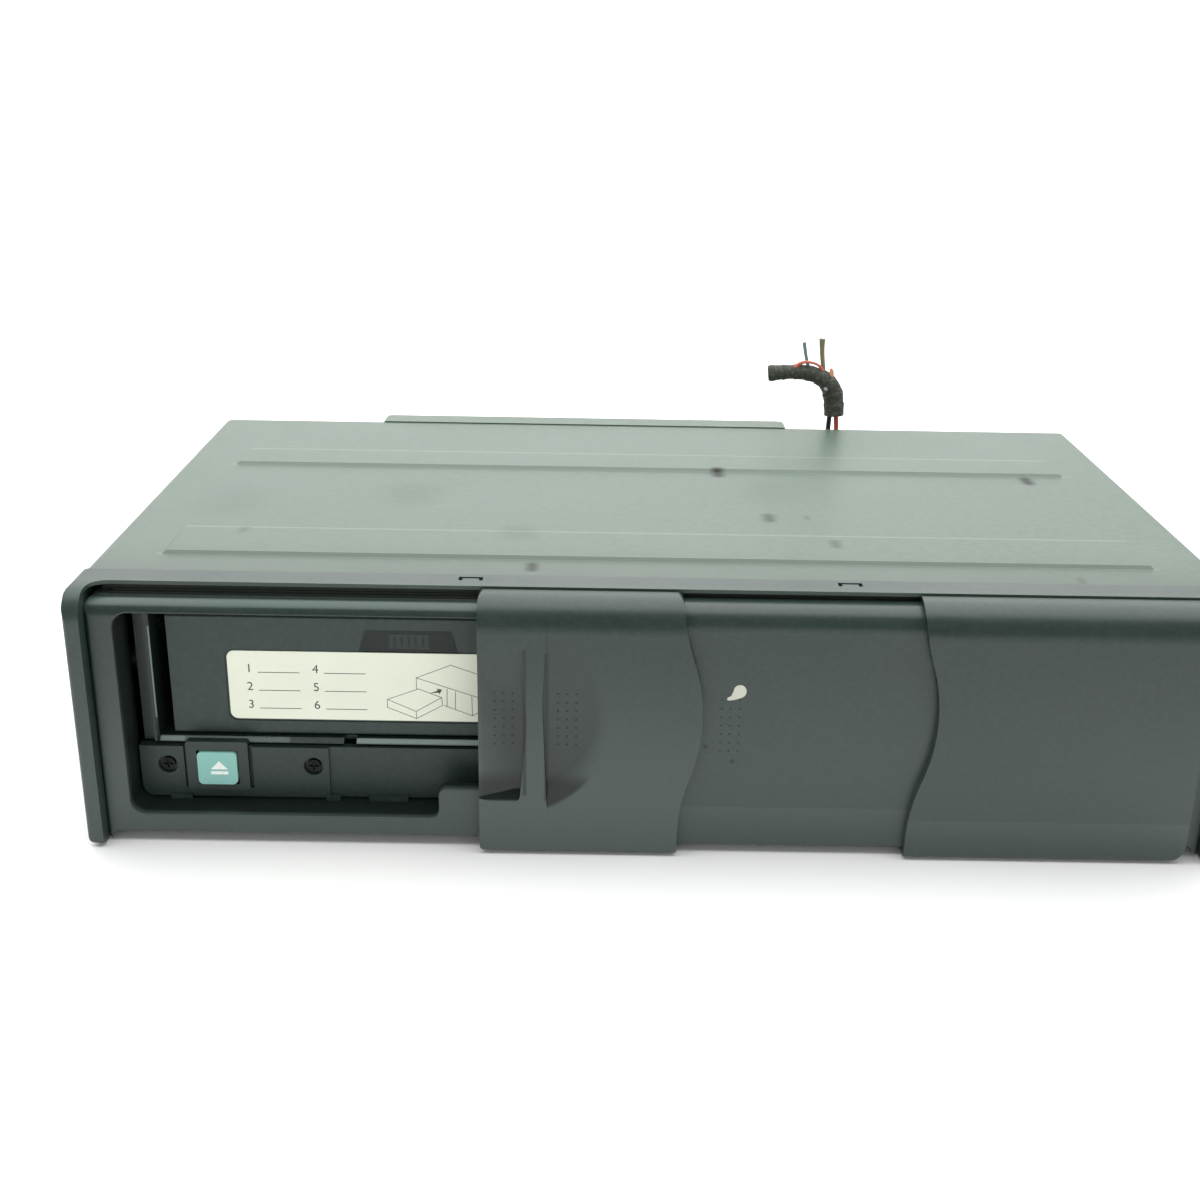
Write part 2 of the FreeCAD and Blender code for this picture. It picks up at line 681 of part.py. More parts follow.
def make_trim_panel():
    plate = box(opening_left + 0.6, opening_right - 0.6, trim_front + trim_step, trim_back, trim_low, trim_high)
    left_part = box(opening_left + 0.6, trim_step_x, trim_front, trim_back, trim_low, trim_high)
    bezel = prism("xz", [(bezel_left, bezel_low, 0.8), (bezel_left + bezel_width, bezel_low, 0.8),
                         (bezel_left + bezel_width, bezel_low + bezel_height, 0.8),
                         (bezel_left, bezel_low + bezel_height, 0.8)],
                  trim_front - bezel_rise, trim_back)
    whole = union([plate, left_part, bezel])
    corner = opening_corner
    outline = prism("xz", [(opening_left + 0.5, trim_low - 0.4, corner), (opening_right - 0.5, trim_low - 0.4, corner),
                           (opening_right - 0.5, trim_high + 5, 0), (opening_left + 0.5, trim_high + 5, 0)],
                    trim_front - bezel_rise - 1, trim_back + 1)
    whole = whole.common(outline)
    over_slot_edge = box(bezel_left - 1, bezel_left + bezel_width + 1, slot_front - 0.1, trim_back + 1,
                         cradle_floor - cradle_wall - 0.1, cradle_floor + 1)
    x0, x1, z0, z1 = button_box()
    gap = button_clearance
    hole = box(x0 - gap, x1 + gap, trim_front - bezel_rise - 1, trim_back + 1, z0 - gap, z1 + gap)
    side_grooves = []
    for edge in (bezel_left - 0.9, bezel_left + bezel_width):
        side_grooves.append(box(edge, edge + 0.9, trim_front - 0.1, trim_front + 0.9, bezel_low, trim_high + 1))
    wells = []
    for x, z in trim_screw_points():
        front = trim_front - 0.1
        floor = trim_screw_floor(x)
        wells.append(cylinder(screw_well_radius, V(x, front, z), V(x, floor, z)))
        wells.append(cylinder(screw_shank_radius, V(x, front, z), V(x, trim_back + 1, z)))
    feet = []
    for reach, span in ((8.1, 5.8), (49.9, 3.8), (61.5, 10.4)):
        feet.append(box(opening_left + reach, opening_left + reach + span, trim_front - 0.8,
                        trim_front + trim_step + 0.2, opening_low, trim_low + 0.8))
    return union([without(whole, [hole, over_slot_edge] + side_grooves + wells)] + feet)


def trim_screw_points():
    places = [opening_left + reach for reach in trim_screw_reaches] + [opening_right - trim_last_reach]
    return [(x, trim_screw_height) for x in places]


def trim_screw_floor(x):
    front = trim_front if x < trim_step_x else trim_front + trim_step
    return front + screw_well_depth


def make_trim_screws():
    return [pan_screw(V(x, trim_screw_floor(x), z), (0, 1, 0), screw_length - 1) for x, z in trim_screw_points()]


flange_front = trim_back + 0.4
flange_back = flange_front + 1.2
board_front = 26.0
board_thickness = 1.6
switch_front = board_front - 3.0


def make_eject_button():
    x0, x1, z0, z1 = button_box()
    face_y = trim_front - bezel_rise - button_proud
    cap = prism("xz", [(x0, z0, 1.2), (x1, z0, 1.6), (x1, z1, 1.2), (x0, z1, 1.2)], face_y, flange_front + 0.2)
    skirt = box(x0 - 1.2, x1 + 1.2, flange_front, flange_back, z0 - 1.2, z1 + 1.0)
    x, z = (x0 + x1) / 2, (z0 + z1) / 2
    stem = cylinder(1.6, V(x, flange_back - 0.2, z), V(x, switch_front - button_travel - 0.2, z))
    return union([cap, skirt, stem])


def make_button_spring():
    x0, x1, z0, z1 = button_box()
    return coil(4.2, 0.5, 5, flange_back, board_front - flange_back, (x0 + x1) / 2, (z0 + z1) / 2)


def make_front_board():
    board = box(opening_left + 2, slot_right - 2, board_front, board_front + board_thickness, 6, cradle_floor - 3)
    holes = []
    for x, z in trim_screw_points():
        holes.append(cylinder(screw_shank_radius + 1, V(x, board_front - 1, z), V(x, board_front + 3, z)))
    posts = []
    for x in (magazine_mid - 40, magazine_mid, magazine_mid + 40):
        posts.append(box(x - 2, x + 2, board_front, board_front + 4, sheet, 6))
    return union([without(board, holes)] + posts)


def make_eject_switch():
    x0, x1, z0, z1 = button_box()
    x, z = (x0 + x1) / 2, (z0 + z1) / 2
    return box(x - 2.5, x + 2.5, switch_front, board_front, z - 2.5, z + 2.5)


# ---------------------------------------------------------------- magazine
def label_box():
    left = magazine_mid - label_width / 2
    return left, left + label_width, label_low, label_low + label_height


def make_magazine_case():
    wall = magazine_wall
    lid_low = magazine_top - wall
    outside = prism("yz", [(magazine_front, magazine_low, 0.8), (magazine_back, magazine_low, 0.5),
                           (magazine_back, lid_low, 0), (magazine_front, lid_low, 0)],
                    magazine_left, magazine_right)
    inside = box(magazine_left + wall, magazine_right + 1, magazine_front + magazine_face, magazine_back - wall,
                 magazine_low + wall, lid_low + 1)
    x0, x1, z0, z1 = label_box()
    edge = label_margin
    label_pocket = prism("xz", [(x0 - edge, z0 - edge, 2.4), (x1 + edge, z0 - edge, 2.4),
                                (x1 + edge, z1 + edge, 2.4), (x0 - edge, z1 + edge, 2.4)],
                         magazine_front - 1, magazine_front + label_thickness)
    push_low = z1 + edge - 0.5
    push_pocket = prism("xz", [(magazine_mid - push_low_width / 2, push_low, 0),
                               (magazine_mid + push_low_width / 2, push_low, 0),
                               (magazine_mid + push_top_width / 2, push_low + push_height, 0.5),
                               (magazine_mid - push_top_width / 2, push_low + push_height, 0.5)],
                        magazine_front - 1, magazine_front + push_depth)
    shell = without(outside, [inside, label_pocket, push_pocket])
    ribs = []
    for level in range(tray_count - 1):
        low = tray_low(level) + tray_thickness + tray_slot_gap
        high = tray_low(level + 1) - tray_slot_gap
        inner_front_y = magazine_front + magazine_face
        ribs.append(box(magazine_left + wall, magazine_right, inner_front_y - 0.2, inner_front_y + tray_rib, low, high))
        inner_back_y = magazine_back - wall
        ribs.append(box(magazine_left + wall, magazine_right, inner_back_y - tray_rib, inner_back_y + 0.2, low, high))
    return union([shell] + ribs)


def make_magazine_lid():
    lid_low = magazine_top - magazine_wall
    return prism("yz", [(magazine_front, lid_low, 0), (magazine_back, lid_low, 0),
                        (magazine_back, magazine_top, 0.6), (magazine_front, magazine_top, 0.6)],
                 magazine_left, magazine_right)


def make_magazine_label():
    x0, x1, z0, z1 = label_box()
    return prism("xz", [(x0, z0, 2.0), (x1, z0, 2.0), (x1, z1, 2.0), (x0, z1, 2.0)],
                 magazine_front, magazine_front + label_thickness)


def tray_low(level):
    return magazine_low + magazine_wall + tray_slot_gap + level * tray_pitch


def make_tray(level):
    low = tray_low(level)
    high = low + tray_thickness
    left = magazine_left + magazine_wall + 0.4
    right = magazine_right - 1.2
    front = magazine_front + magazine_face + 0.3
    back = magazine_back - magazine_wall - 0.3
    plate = prism("xy", [(left, front, 2.0), (right, front, 6.0), (right, back, 6.0), (left, back, 2.0)], low, high)
    centre = V(magazine_mid, disc_y, 0)
    pocket = Part.makeCylinder(disc_radius + disc_clearance, tray_thickness, centre + V(0, 0, high - disc_pocket))
    window = Part.makeCylinder(tray_window, tray_thickness + 2, centre + V(0, 0, low - 1))
    slot = box(centre.x, right + 1, disc_y - tray_window, disc_y + tray_window, low - 1, high + 1)
    return without(plate, [pocket, window, slot])


# ---------------------------------------------------------------- magazine slot and ejector
plunger_radius = 2.5
plunger_head = 7.0
plunger_plate = 1.6
plunger_z = magazine_low + magazine_height / 2
plunger_gap = 0.3
spring_wall = cradle_back - cradle_wall


def cradle_feet():
    return [(x, y) for x in (slot_left + 4, slot_right - 6) for y in (magazine_front + 32.4, magazine_back - 16.6)]


def make_magazine_cradle():
    low = cradle_floor - cradle_wall
    face_front = slot_front + slot_bevel + 0.1
    floor = box(slot_left - cradle_wall, slot_right + cradle_wall, face_front, cradle_back, low, cradle_floor)
    left = box(slot_left - cradle_wall, slot_left, face_front, cradle_back, low, magazine_top + 1)
    back = box(slot_left - cradle_wall, slot_right, spring_wall, cradle_back, low, magazine_top + 1)
    right = box(slot_right, slot_right + cradle_wall, trim_back + 0.4, cradle_back, low, cradle_floor + 1.4)
    rails = []
    for z in (magazine_low + 6, magazine_low + 22):
        rails.append(box(slot_left - 0.2, magazine_left - magazine_gap, magazine_front + rail_setback, cradle_back,
                         z, z + 2))
    face = box(slot_left - cradle_flange, slot_right + cradle_flange - 1.6, face_front, face_front + 1.2,
               low, opening_top - 1)
    face_hole = box(slot_left, slot_right, slot_front, slot_front + 4, cradle_floor, opening_top + 3)
    lip = prism("yz", [(slot_front, low, 0), (face_front + 0.2, low, 0), (face_front + 0.2, cradle_floor, 0),
                       (face_front, cradle_floor, 0), (slot_front, cradle_floor - slot_bevel, 0)],
                slot_left, slot_right)
    lip_left = prism("xy", [(slot_left - cradle_wall, slot_front, 0), (slot_left - slot_bevel / 2, slot_front, 0),
                            (slot_left, slot_front + slot_bevel / 2, 0), (slot_left, face_front + 0.2, 0),
                            (slot_left - cradle_wall, face_front + 0.2, 0)], low, opening_top - 1)
    notch_left = magazine_left + slot_notch
    notch = box(notch_left, notch_left + slot_notch_width, slot_front - 1, slot_front + 3, low - 1, cradle_floor + 1)
    feet = [box(x - 2, x + 2, y - 2, y + 2, sheet, low) for x, y in cradle_feet()]
    bore = cylinder(plunger_radius + running, V(magazine_mid, spring_wall - 1, plunger_z),
                    V(magazine_mid, cradle_back + 1, plunger_z))
    whole = union([floor, left, back, right, face.cut(face_hole), lip, lip_left] + rails + feet)
    return without(whole, [notch, bore])


def make_cradle_roof():
    low = magazine_top + 1
    plate = box(slot_left - cradle_wall, slot_right, slot_front + 5, cradle_back, low, low + 1)
    window = (magazine_width - 36) / 3
    windows = []
    for i in range(3):
        left = magazine_left + 9 + i * (window + 9)
        windows.append(box(left, left + window, magazine_front + 27, magazine_back - 17, low - 1, low + 2))
    return without(plate, windows)


def make_ejector_plunger():
    front = magazine_back + plunger_gap
    head = cylinder(plunger_head, V(magazine_mid, front, plunger_z),
                    V(magazine_mid, front + plunger_plate, plunger_z))
    rod = cylinder(plunger_radius, V(magazine_mid, front, plunger_z),
                   V(magazine_mid, cradle_back + magazine_stroke, plunger_z))
    return union([head, rod])


def make_ejector_spring():
    start = magazine_back + plunger_gap + plunger_plate
    return coil(4.6, 0.9, 5, start, spring_wall - start, magazine_mid, plunger_z)


# ---------------------------------------------------------------- case
def make_top_cover():
    low = cover_side_low
    front = surround_back + part_gap
    outside = prism("xz", [(-half_case, low, 0), (half_case, low, 0),
                           (half_case, cover_top, cover_bend), (-half_case, cover_top, cover_bend)],
                    front, rear_plane)
    from_above = prism("xy", [(-half_case, front, 0), (half_case, front, 0),
                              (half_case, rear_plane, 3.0), (-half_case, rear_plane, 3.0)], 0, cover_top)
    inside = prism("xz", [(-half_case + sheet, -1, 0), (half_case - sheet, -1, 0),
                          (half_case - sheet, cover_top - sheet, cover_bend - sheet),
                          (-half_case + sheet, cover_top - sheet, cover_bend - sheet)],
                   front - 1, rear_plane + 1)
    shell = outside.common(from_above).cut(inside)
    raised = []
    hollows = []
    for row_front, row_back in rib_rows:
        raised.append(ridge(half_case - rib_margin, row_front, row_back, cover_top - 0.3, cover_top + rib_rise, rib_rise + 0.3))
        hollows.append(ridge(half_case - rib_margin - sheet, row_front + sheet, row_back - sheet, cover_top - sheet - 0.1,
                             cover_top + rib_rise - sheet, rib_rise))
    openings = []
    for side in (-1, 1):
        for y in mount_ys():
            openings.append(cylinder(mount_access_radius, V(side * (half_case - sheet - 1), y, mount_height),
                                     V(side * (half_case + 1), y, mount_height)))
        for y, z in side_screw_points():
            openings.append(screw_hole(V(side * half_case, y, z), (-side, 0, 0), sheet))
            openings.append(cylinder(screw_head_radius + 0.1, V(side * (half_case - screw_sink), y, z),
                                     V(side * (half_case + 1), y, z)))
    return without(union([shell] + raised), hollows + openings)


def ridge(half, front, back, low, high, slope):
    """An embossed bar with sloping sides, widest at the level low."""
    bar = Part.makeWedge(-half, low, -back, slope - back, slope - half,
                         half, high, -front, -front - slope, half - slope)
    bar.rotate(V(0, 0, 0), V(1, 0, 0), 90)
    return bar


def mount_ys():
    rear = rear_plane - mount_setback
    return (rear - mount_pitch, rear)


def side_screw_points():
    front = surround_back + 9
    return ((front, 12.0), (rear_plane - 9.5, 12.0), (front, housing_top - 11.9))


case_inner = half_case - sheet - part_gap / 2


def make_bottom_case():
    front = surround_back + 0.4
    back = rear_plane - sheet
    tongue_half = frame_half - flare - 1
    floor = box(-case_inner, case_inner, front, back, 0, sheet)
    tongue = box(-tongue_half, tongue_half, bottom_front, front, 0, sheet)
    walls = []
    cutters = []
    for side in (-1, 1):
        faces = sorted((side * case_inner, side * (case_inner - sheet)))
        walls.append(box(faces[0], faces[1], front, back - 3, 0, cover_top - sheet - 4))
        for y in mount_ys():
            cutters.append(cylinder(mount_nut_radius, V(side * (case_inner - sheet - 1), y, mount_height),
                                    V(side * (case_inner + 1), y, mount_height)))
        for y, z in side_screw_points():
            cutters.append(screw_hole(V(side * half_case, y, z), (-side, 0, 0), screw_length))
    return without(union([floor, tongue] + walls), cutters)


def make_mount_nuts():
    nuts = []
    for side in (-1, 1):
        for y in mount_ys():
            outer = V(side * case_inner, y, mount_height)
            inner = V(side * (case_inner - mount_nut_length), y, mount_height)
            nuts.append(cylinder(mount_nut_radius, inner, outer).cut(cylinder(mount_thread_radius, inner, outer)))
    return nuts


def rear_screw_points():
    reach = case_inner - 27.4
    return [(x, z) for x in (-reach, reach) for z in (16.0, housing_top - 13.9)]


def socket_box():
    return (socket_x - socket_width / 2, socket_x + socket_width / 2, socket_low, socket_low + socket_height)


def make_rear_panel():
    half = case_inner - 1.2
    plate = prism("xy", [(-half, rear_plane - sheet, 0), (half, rear_plane - sheet, 0),
                         (half, rear_plane, 0.8), (-half, rear_plane, 0.8)], sheet, cover_top - sheet)
    tabs = []
    for x in (slot_left + 22.4, magazine_right + 2, bay_right - 44.5):
        tabs.append(box(x - 8, x + 8, rear_plane - 12, rear_plane - sheet, sheet, 2 * sheet))
    x0, x1, z0, z1 = socket_box()
    cutters = [box(x0, x1, rear_plane - 5, rear_plane + 1, z0, z1)]
    for x, z in rear_screw_points():
        cutters.append(screw_hole(V(x, rear_plane, z), (0, -1, 0)))
    vent_x = (socket_x + socket_width / 2 + half_case) / 2 - 13.7
    for x in (vent_x - 8, vent_x, vent_x + 8):
        for z in (socket_low + 2, socket_low + 8, socket_low + 14):
            cutters.append(prism("xz", [(x - 3, z, 0.9), (x + 3, z, 0.9), (x + 3, z + 2, 0.9), (x - 3, z + 2, 0.9)],
                                 rear_plane - 5, rear_plane + 1))
    return without(union([plate] + tabs), cutters)


def make_rear_housing():
    top = cover_top + 0.4
    wall = housing_wall
    from_above = prism("xy", [(housing_left, rear_plane, 0), (housing_right, rear_plane, 0),
                              (housing_right, depth, 3.0), (housing_left, depth, 3.0)], housing_low, top)
    outside = prism("xz", [(housing_left, housing_low, 1.5), (housing_right, housing_low, 1.5),
                           (housing_right, top, 1.5), (housing_left, top, 1.5)],
                    rear_plane, depth).common(from_above)
    inside = box(housing_left + wall, housing_right - wall, rear_plane - 1, depth - wall,
                 housing_low + wall, top - wall)
    return outside.cut(inside)


def make_case_screws():
    screws = []
    for side in (-1, 1):
        for y, z in side_screw_points():
            screws.append(pan_screw(V(side * (half_case - screw_sink), y, z), (-side, 0, 0), 4.0))
    for x, z in rear_screw_points():
        screws.append(pan_screw(V(x, rear_plane, z), (0, -1, 0), 4.0))
    return screws


def make_rear_socket():
    x0, x1, z0, z1 = socket_box()
    body = box(x0, x1, rear_plane - sheet - socket_depth, rear_plane + 0.8, z0, z1)
    cavity = box(x0 + 1.5, x1 - 1.5, rear_plane - socket_depth + 1, rear_plane + 2, z0 + 1.5, z1 - 1.5)
    pins = []
    for i in range(4):
        for j in range(2):
            x = socket_x - 6 + 4 * i
            z = z0 + 5.5 + 6 * j
            pins.append(cylinder(0.5, V(x, rear_plane - socket_depth - 0.2, z), V(x, rear_plane - 3.6, z)))
    return union([body.cut(cavity)] + pins)


def board_area():
    return slot_left - 7.6, magazine_right - 6, magazine_front + 16.4, rear_plane - 7.5


def make_main_board():
    low = 7.0
    x0, x1, y0, y1 = board_area()
    board = box(x0, x1, y0, y1, low, low + board_thickness)
    posts = []
    for x in (x0 + 12, x1 - 8):
        for y in (y0 + 8, y1 - 7):
            posts.append(cylinder(3.0, V(x, y, sheet), V(x, y, low)))
    clear = [box(x - 2.6, x + 2.6, y - 2.6, y + 2.6, low - 1, low + 3) for x, y in cradle_feet()]
    return union([without(board, clear)] + posts)


def make_board_parts():
    """Chips and capacitors, placed from the middle of the board."""
    top = 7.0 + board_thickness
    x0, x1, y0, y1 = board_area()
    middle = V((x0 + x1) / 2, (y0 + y1) / 2, top)
    chips = []
    for across, along, w, d, h in ((-26, -29, 20, 20, 2.2), (14, -25, 14, 14, 1.8), (12, 11, 24, 9, 3.0),
                                   (-31, 13, 28, 12, 5.0), (38, 50, 22, 10, 9.0)):
        corner = middle + V(across - w / 2, along - d / 2, 0)
        chips.append(Part.makeBox(w, d, h, corner))
    for across, along, r, h in ((44, -39, 5.0, 12.0), (44, -23, 5.0, 12.0), (42, -3, 3.2, 8.0), (-44, 41, 3.2, 8.0)):
        seat = middle + V(across, along, 0)
        chips.append(cylinder(r, seat, seat + V(0, 0, h)))
    return chips


# ---------------------------------------------------------------- lifting player deck
chassis_top = chassis_low + sheet
damper_points = (
    (bay_left + 10, chassis_front + 10),
    (bay_right - 22.5, chassis_front + 8),
    (bay_right - 22.5, chassis_back - 9),
    (bay_left + 26, chassis_back - 19),
)


def make_mechanism_chassis():
    plate = box(bay_left, bay_right, chassis_front, chassis_back, chassis_low, chassis_top)
    wall = box(bay_right - sheet, bay_right, chassis_front, chassis_back, chassis_low, lift_top - 4)
    front_y, back_y = lift_points[0][1], lift_points[1][1]
    half = lift_post / 2
    bridges = [box(deck_right, bay_right, y - half, y + half, lift_top, lift_top + sheet) for y in (front_y, back_y)]
    rear_right = lift_points[2][0] + half
    rear_bridge = box(bay_left, rear_right, lift_points[2][1] - half, chassis_back, lift_top, lift_top + sheet)
    rear_post = box(bay_left, rear_right, chassis_back - sheet, chassis_back, chassis_low, lift_top + sheet)
    high_wall = box(bay_right - sheet, bay_right, front_y - half, back_y + half, lift_top - 6, lift_top + sheet)
    holes = []
    for x, y in lift_points:
        holes.append(cylinder(lift_radius - 0.5 + running, V(x, y, chassis_low - 1), V(x, y, lift_top + 3)))
    for x, y in damper_points:
        holes.append(cylinder(3.0, V(x, y, chassis_low - 1), V(x, y, chassis_top + 1)))
    x, y = lift_motor_point
    holes.append(cylinder(2.0, V(x, y, chassis_low - 1), V(x, y, chassis_top + 1)))
    return without(union([plate, wall, high_wall, rear_bridge, rear_post] + bridges), holes)


def make_chassis_dampers():
    dampers = []
    for x, y in damper_points:
        lower = cylinder(damper_radius, V(x, y, sheet), V(x, y, chassis_low))
        neck = cylinder(3.0, V(x, y, chassis_low), V(x, y, chassis_top + 0.8))
        dampers.append(union([lower, neck]))
    return dampers


def make_lift_screw(point):
    x, y = point
    journal = lift_radius - 0.5
    shaft = cylinder(lift_radius, V(x, y, chassis_top + 0.2), V(x, y, lift_top - 0.2))
    ends = cylinder(journal, V(x, y, chassis_low), V(x, y, lift_top + sheet))
    pulley = cylinder(pulley_radius, V(x, y, pulley_low), V(x, y, pulley_low + pulley_height))
    return union([shaft, ends, pulley])


def belt_path(radius):
    """Outer tangents round the four pulleys, which lie in counter-clockwise order seen from above."""
    centres = [V(x, y, pulley_low) for x, y in (lift_points[0], lift_points[1], lift_motor_point, lift_points[2])]
    normals = []
    for i, centre in enumerate(centres):
        along = (centres[(i + 1) % 4] - centre).normalize()
        normals.append(V(along.y, -along.x, 0))
    edges = []
    for i, centre in enumerate(centres):
        arriving = normals[i - 1]
        leaving = normals[i]
        middle = (arriving + leaving).normalize()
        edges.append(Part.Arc(centre + arriving * radius, centre + middle * radius,
                              centre + leaving * radius).toShape())
        edges.append(Part.LineSegment(centre + leaving * radius,
                                      centres[(i + 1) % 4] + leaving * radius).toShape())
    return Part.Face(Part.Wire(edges))


def make_lift_belt():
    inner = pulley_radius + belt_clearance
    return belt_path(inner + belt).cut(belt_path(inner)).extrude(V(0, 0, pulley_height))


def make_lift_motor():
    x, y = lift_motor_point
    low = pulley_low + pulley_height
    can = cylinder(lift_motor_radius, V(x, y, low + 0.3), V(x, y, low + lift_motor_height))
    behind_belt = y + pulley_radius + belt + belt_clearance + 0.6
    bracket = box(x - 3, x + 3, behind_belt, y + lift_motor_radius, chassis_top, low + 8)
    bore = cylinder(spindle_radius + running, V(x, y, low - 1), V(x, y, low + lift_motor_bore))
    return union([can, bracket]).cut(bore)


def make_motor_pulley():
    x, y = lift_motor_point
    pulley = cylinder(pulley_radius, V(x, y, pulley_low), V(x, y, pulley_low + pulley_height))
    shaft = cylinder(spindle_radius, V(x, y, chassis_top + 0.2), V(x, y, pulley_low + pulley_height + 8))
    return union([pulley, shaft])


def make_deck_plate():
    top = deck_low + deck_sheet
    plate = prism("xy", [(deck_left, deck_front, 3), (deck_right, deck_front, 3), (deck_right, deck_back, 3),
                         (deck_left, deck_back, 3)], deck_low, top)
    ears = []
    for x, y in lift_points:
        if x > deck_right:
            ears.append(box(deck_right - 2, x + nut_radius + 1, y - 8, y + 8, deck_low, top))
    holes = [box(window_left, window_right, disc_y - window_half, disc_y + window_half, deck_low - 1, top + 1)]
    for x, y in lift_points:
        holes.append(cylinder(nut_radius, V(x, y, deck_low - 1), V(x, y, top + 1)))
    holes.append(cylinder(3.4, V(disc_x, disc_y, deck_low - 1), V(disc_x, disc_y, top + 1)))
    motor_x, motor_y = lift_motor_point
    holes.append(cylinder(lift_motor_radius + 1, V(motor_x, motor_y, deck_low - 1), V(motor_x, motor_y, top + 1)))
    rod_ends = []
    for offset in (-rod_offset, rod_offset):
        for x0, x1 in ((window_left - 4, window_left), (window_right, window_right + 4)):
            rod_ends.append(box(x0, x1, disc_y + offset - 3, disc_y + offset + 3, rod_z - 2.5, deck_low))
    bores = []
    for offset in (-rod_offset, rod_offset):
        bores.append(cylinder(rod_radius, V(window_left - 3, disc_y + offset, rod_z),
                              V(window_right + 3, disc_y + offset, rod_z)))
    drive_y = disc_y + drive_offset
    rod_ends.append(box(window_left - 4, window_left, drive_y - 2.4, drive_y + 2.4, rod_z - 2.5, deck_low))
    bores.append(cylinder(drive_radius + running, V(window_left - 3, drive_y, rod_z),
                          V(window_right, drive_y, rod_z)))
    ear_x = arm_half + 0.3
    brackets = []
    for x0, x1 in ((disc_x - ear_x - 2, disc_x - ear_x), (disc_x + ear_x, disc_x + ear_x + 2)):
        brackets.append(box(x0, x1, arm_pivot_y - 4, arm_pivot_y + 4, top - 0.2, arm_z + arm_sheet / 2 + 3))
    bores.append(cylinder(pin_radius + running, V(disc_x - 20, arm_pivot_y, arm_z + arm_sheet / 2),
                          V(disc_x + 20, arm_pivot_y, arm_z + arm_sheet / 2)))
    for y in (roller_front - 4, roller_front + roller_length + 1):
        brackets.append(box(roller_x - 3, roller_x + 3, y, y + 3, top - 0.2, roller_z() + 2.4))
        bores.append(cylinder(spindle_radius + running, V(roller_x, y - 1, roller_z()), V(roller_x, y + 4, roller_z())))
    holes.append(box(roller_x - roller_radius - 0.5, roller_x + roller_radius + 0.5, roller_front - 0.8,
                     roller_front + roller_length + 0.8, deck_low - 1, top + 1))
    return without(union([without(plate.fuse(ears), holes)] + rod_ends + brackets), bores)


def roller_z():
    return disc_plane - (tray_thickness - disc_pocket) - roller_radius


def make_lift_nuts():
    nuts = []
    for x, y in lift_points:
        start = V(x, y, deck_low)
        end = V(x, y, deck_low + nut_height)
        nuts.append(cylinder(nut_radius, start, end).cut(cylinder(lift_radius + running, start, end)))
    return nuts


def make_spindle_motor():
    centre = V(disc_x, disc_y, 0)
    body = cylinder(motor_radius, centre + V(0, 0, deck_low - motor_height), centre + V(0, 0, deck_low))
    boss = cylinder(3.4, centre + V(0, 0, deck_low - 0.2), centre + V(0, 0, deck_low + deck_sheet))
    bore = cylinder(spindle_radius + running, centre + V(0, 0, deck_low - 2.6), centre + V(0, 0, 20))
    return union([body, boss]).cut(bore)


def make_turntable():
    centre = V(disc_x, disc_y, 0)
    plate_low = deck_low + deck_sheet + 0.3
    plate = cylinder(turntable_radius, centre + V(0, 0, plate_low), centre + V(0, 0, disc_plane))
    hub = Part.makeCone(hub_radius, hub_radius - 1.2, hub_rise, centre + V(0, 0, disc_plane))
    shaft = cylinder(spindle_radius, centre + V(0, 0, deck_low - 2.4), centre + V(0, 0, disc_plane))
    return union([plate, hub, shaft])


def make_pickup_sled():
    block = box(sled_start, sled_start + sled_length, disc_y - sled_half, disc_y + sled_half, sled_low, deck_low)
    tower = box(sled_start + 2, sled_start + sled_length - 2, disc_y - 11, disc_y + 11, deck_low - 0.2, sled_high)
    drive_y = disc_y + drive_offset
    lug = box(sled_start + 4, sled_start + 12, disc_y + sled_half - 1, drive_y + 2.2, rod_z - 1.8, rod_z + 1.8)
    bores = []
    for offset in (-rod_offset, rod_offset):
        bores.append(cylinder(rod_radius + running, V(sled_start - 1, disc_y + offset, rod_z),
                              V(sled_start + sled_length + 1, disc_y + offset, rod_z)))
    bores.append(cylinder(drive_radius + running, V(sled_start, drive_y, rod_z),
                          V(sled_start + sled_length, drive_y, rod_z)))
    lens_x = sled_start + sled_lens
    lens_seat = cylinder(3.2, V(lens_x, disc_y, sled_high - 1), V(lens_x, disc_y, sled_high + 1))
    return without(union([block, tower, lug]), bores + [lens_seat])


def make_pickup_lens():
    seat = V(sled_start + sled_lens, disc_y, sled_high - 1)
    return Part.makeCone(3.2, 2.4, 1.4, seat)


def make_sled_rods():
    rods = []
    for offset in (-rod_offset, rod_offset):
        rods.append(cylinder(rod_radius, V(window_left - 3, disc_y + offset, rod_z),
                             V(window_right + 3, disc_y + offset, rod_z)))
    return rods


def make_sled_screw():
    drive_y = disc_y + drive_offset
    return cylinder(drive_radius, V(window_left - 2.8, drive_y, rod_z), V(window_right + 6, drive_y, rod_z))


def make_sled_motor():
    drive_y = disc_y + drive_offset
    start = V(window_right + 4.2, drive_y, rod_z)
    body = cylinder(4.4, start, start + V(sled_motor_length, 0, 0))
    bore = cylinder(drive_radius + running, start - V(1, 0, 0), start + V(3, 0, 0))
    foot = box(start.x + 0.2, start.x + 1.6, drive_y - 2, drive_y + 2, rod_z, deck_low)
    under_deck = box(start.x - 1, start.x + sled_motor_length + 1, drive_y - 5, drive_y + 5, 0, deck_low)
    return union([body, foot]).common(under_deck).cut(bore)


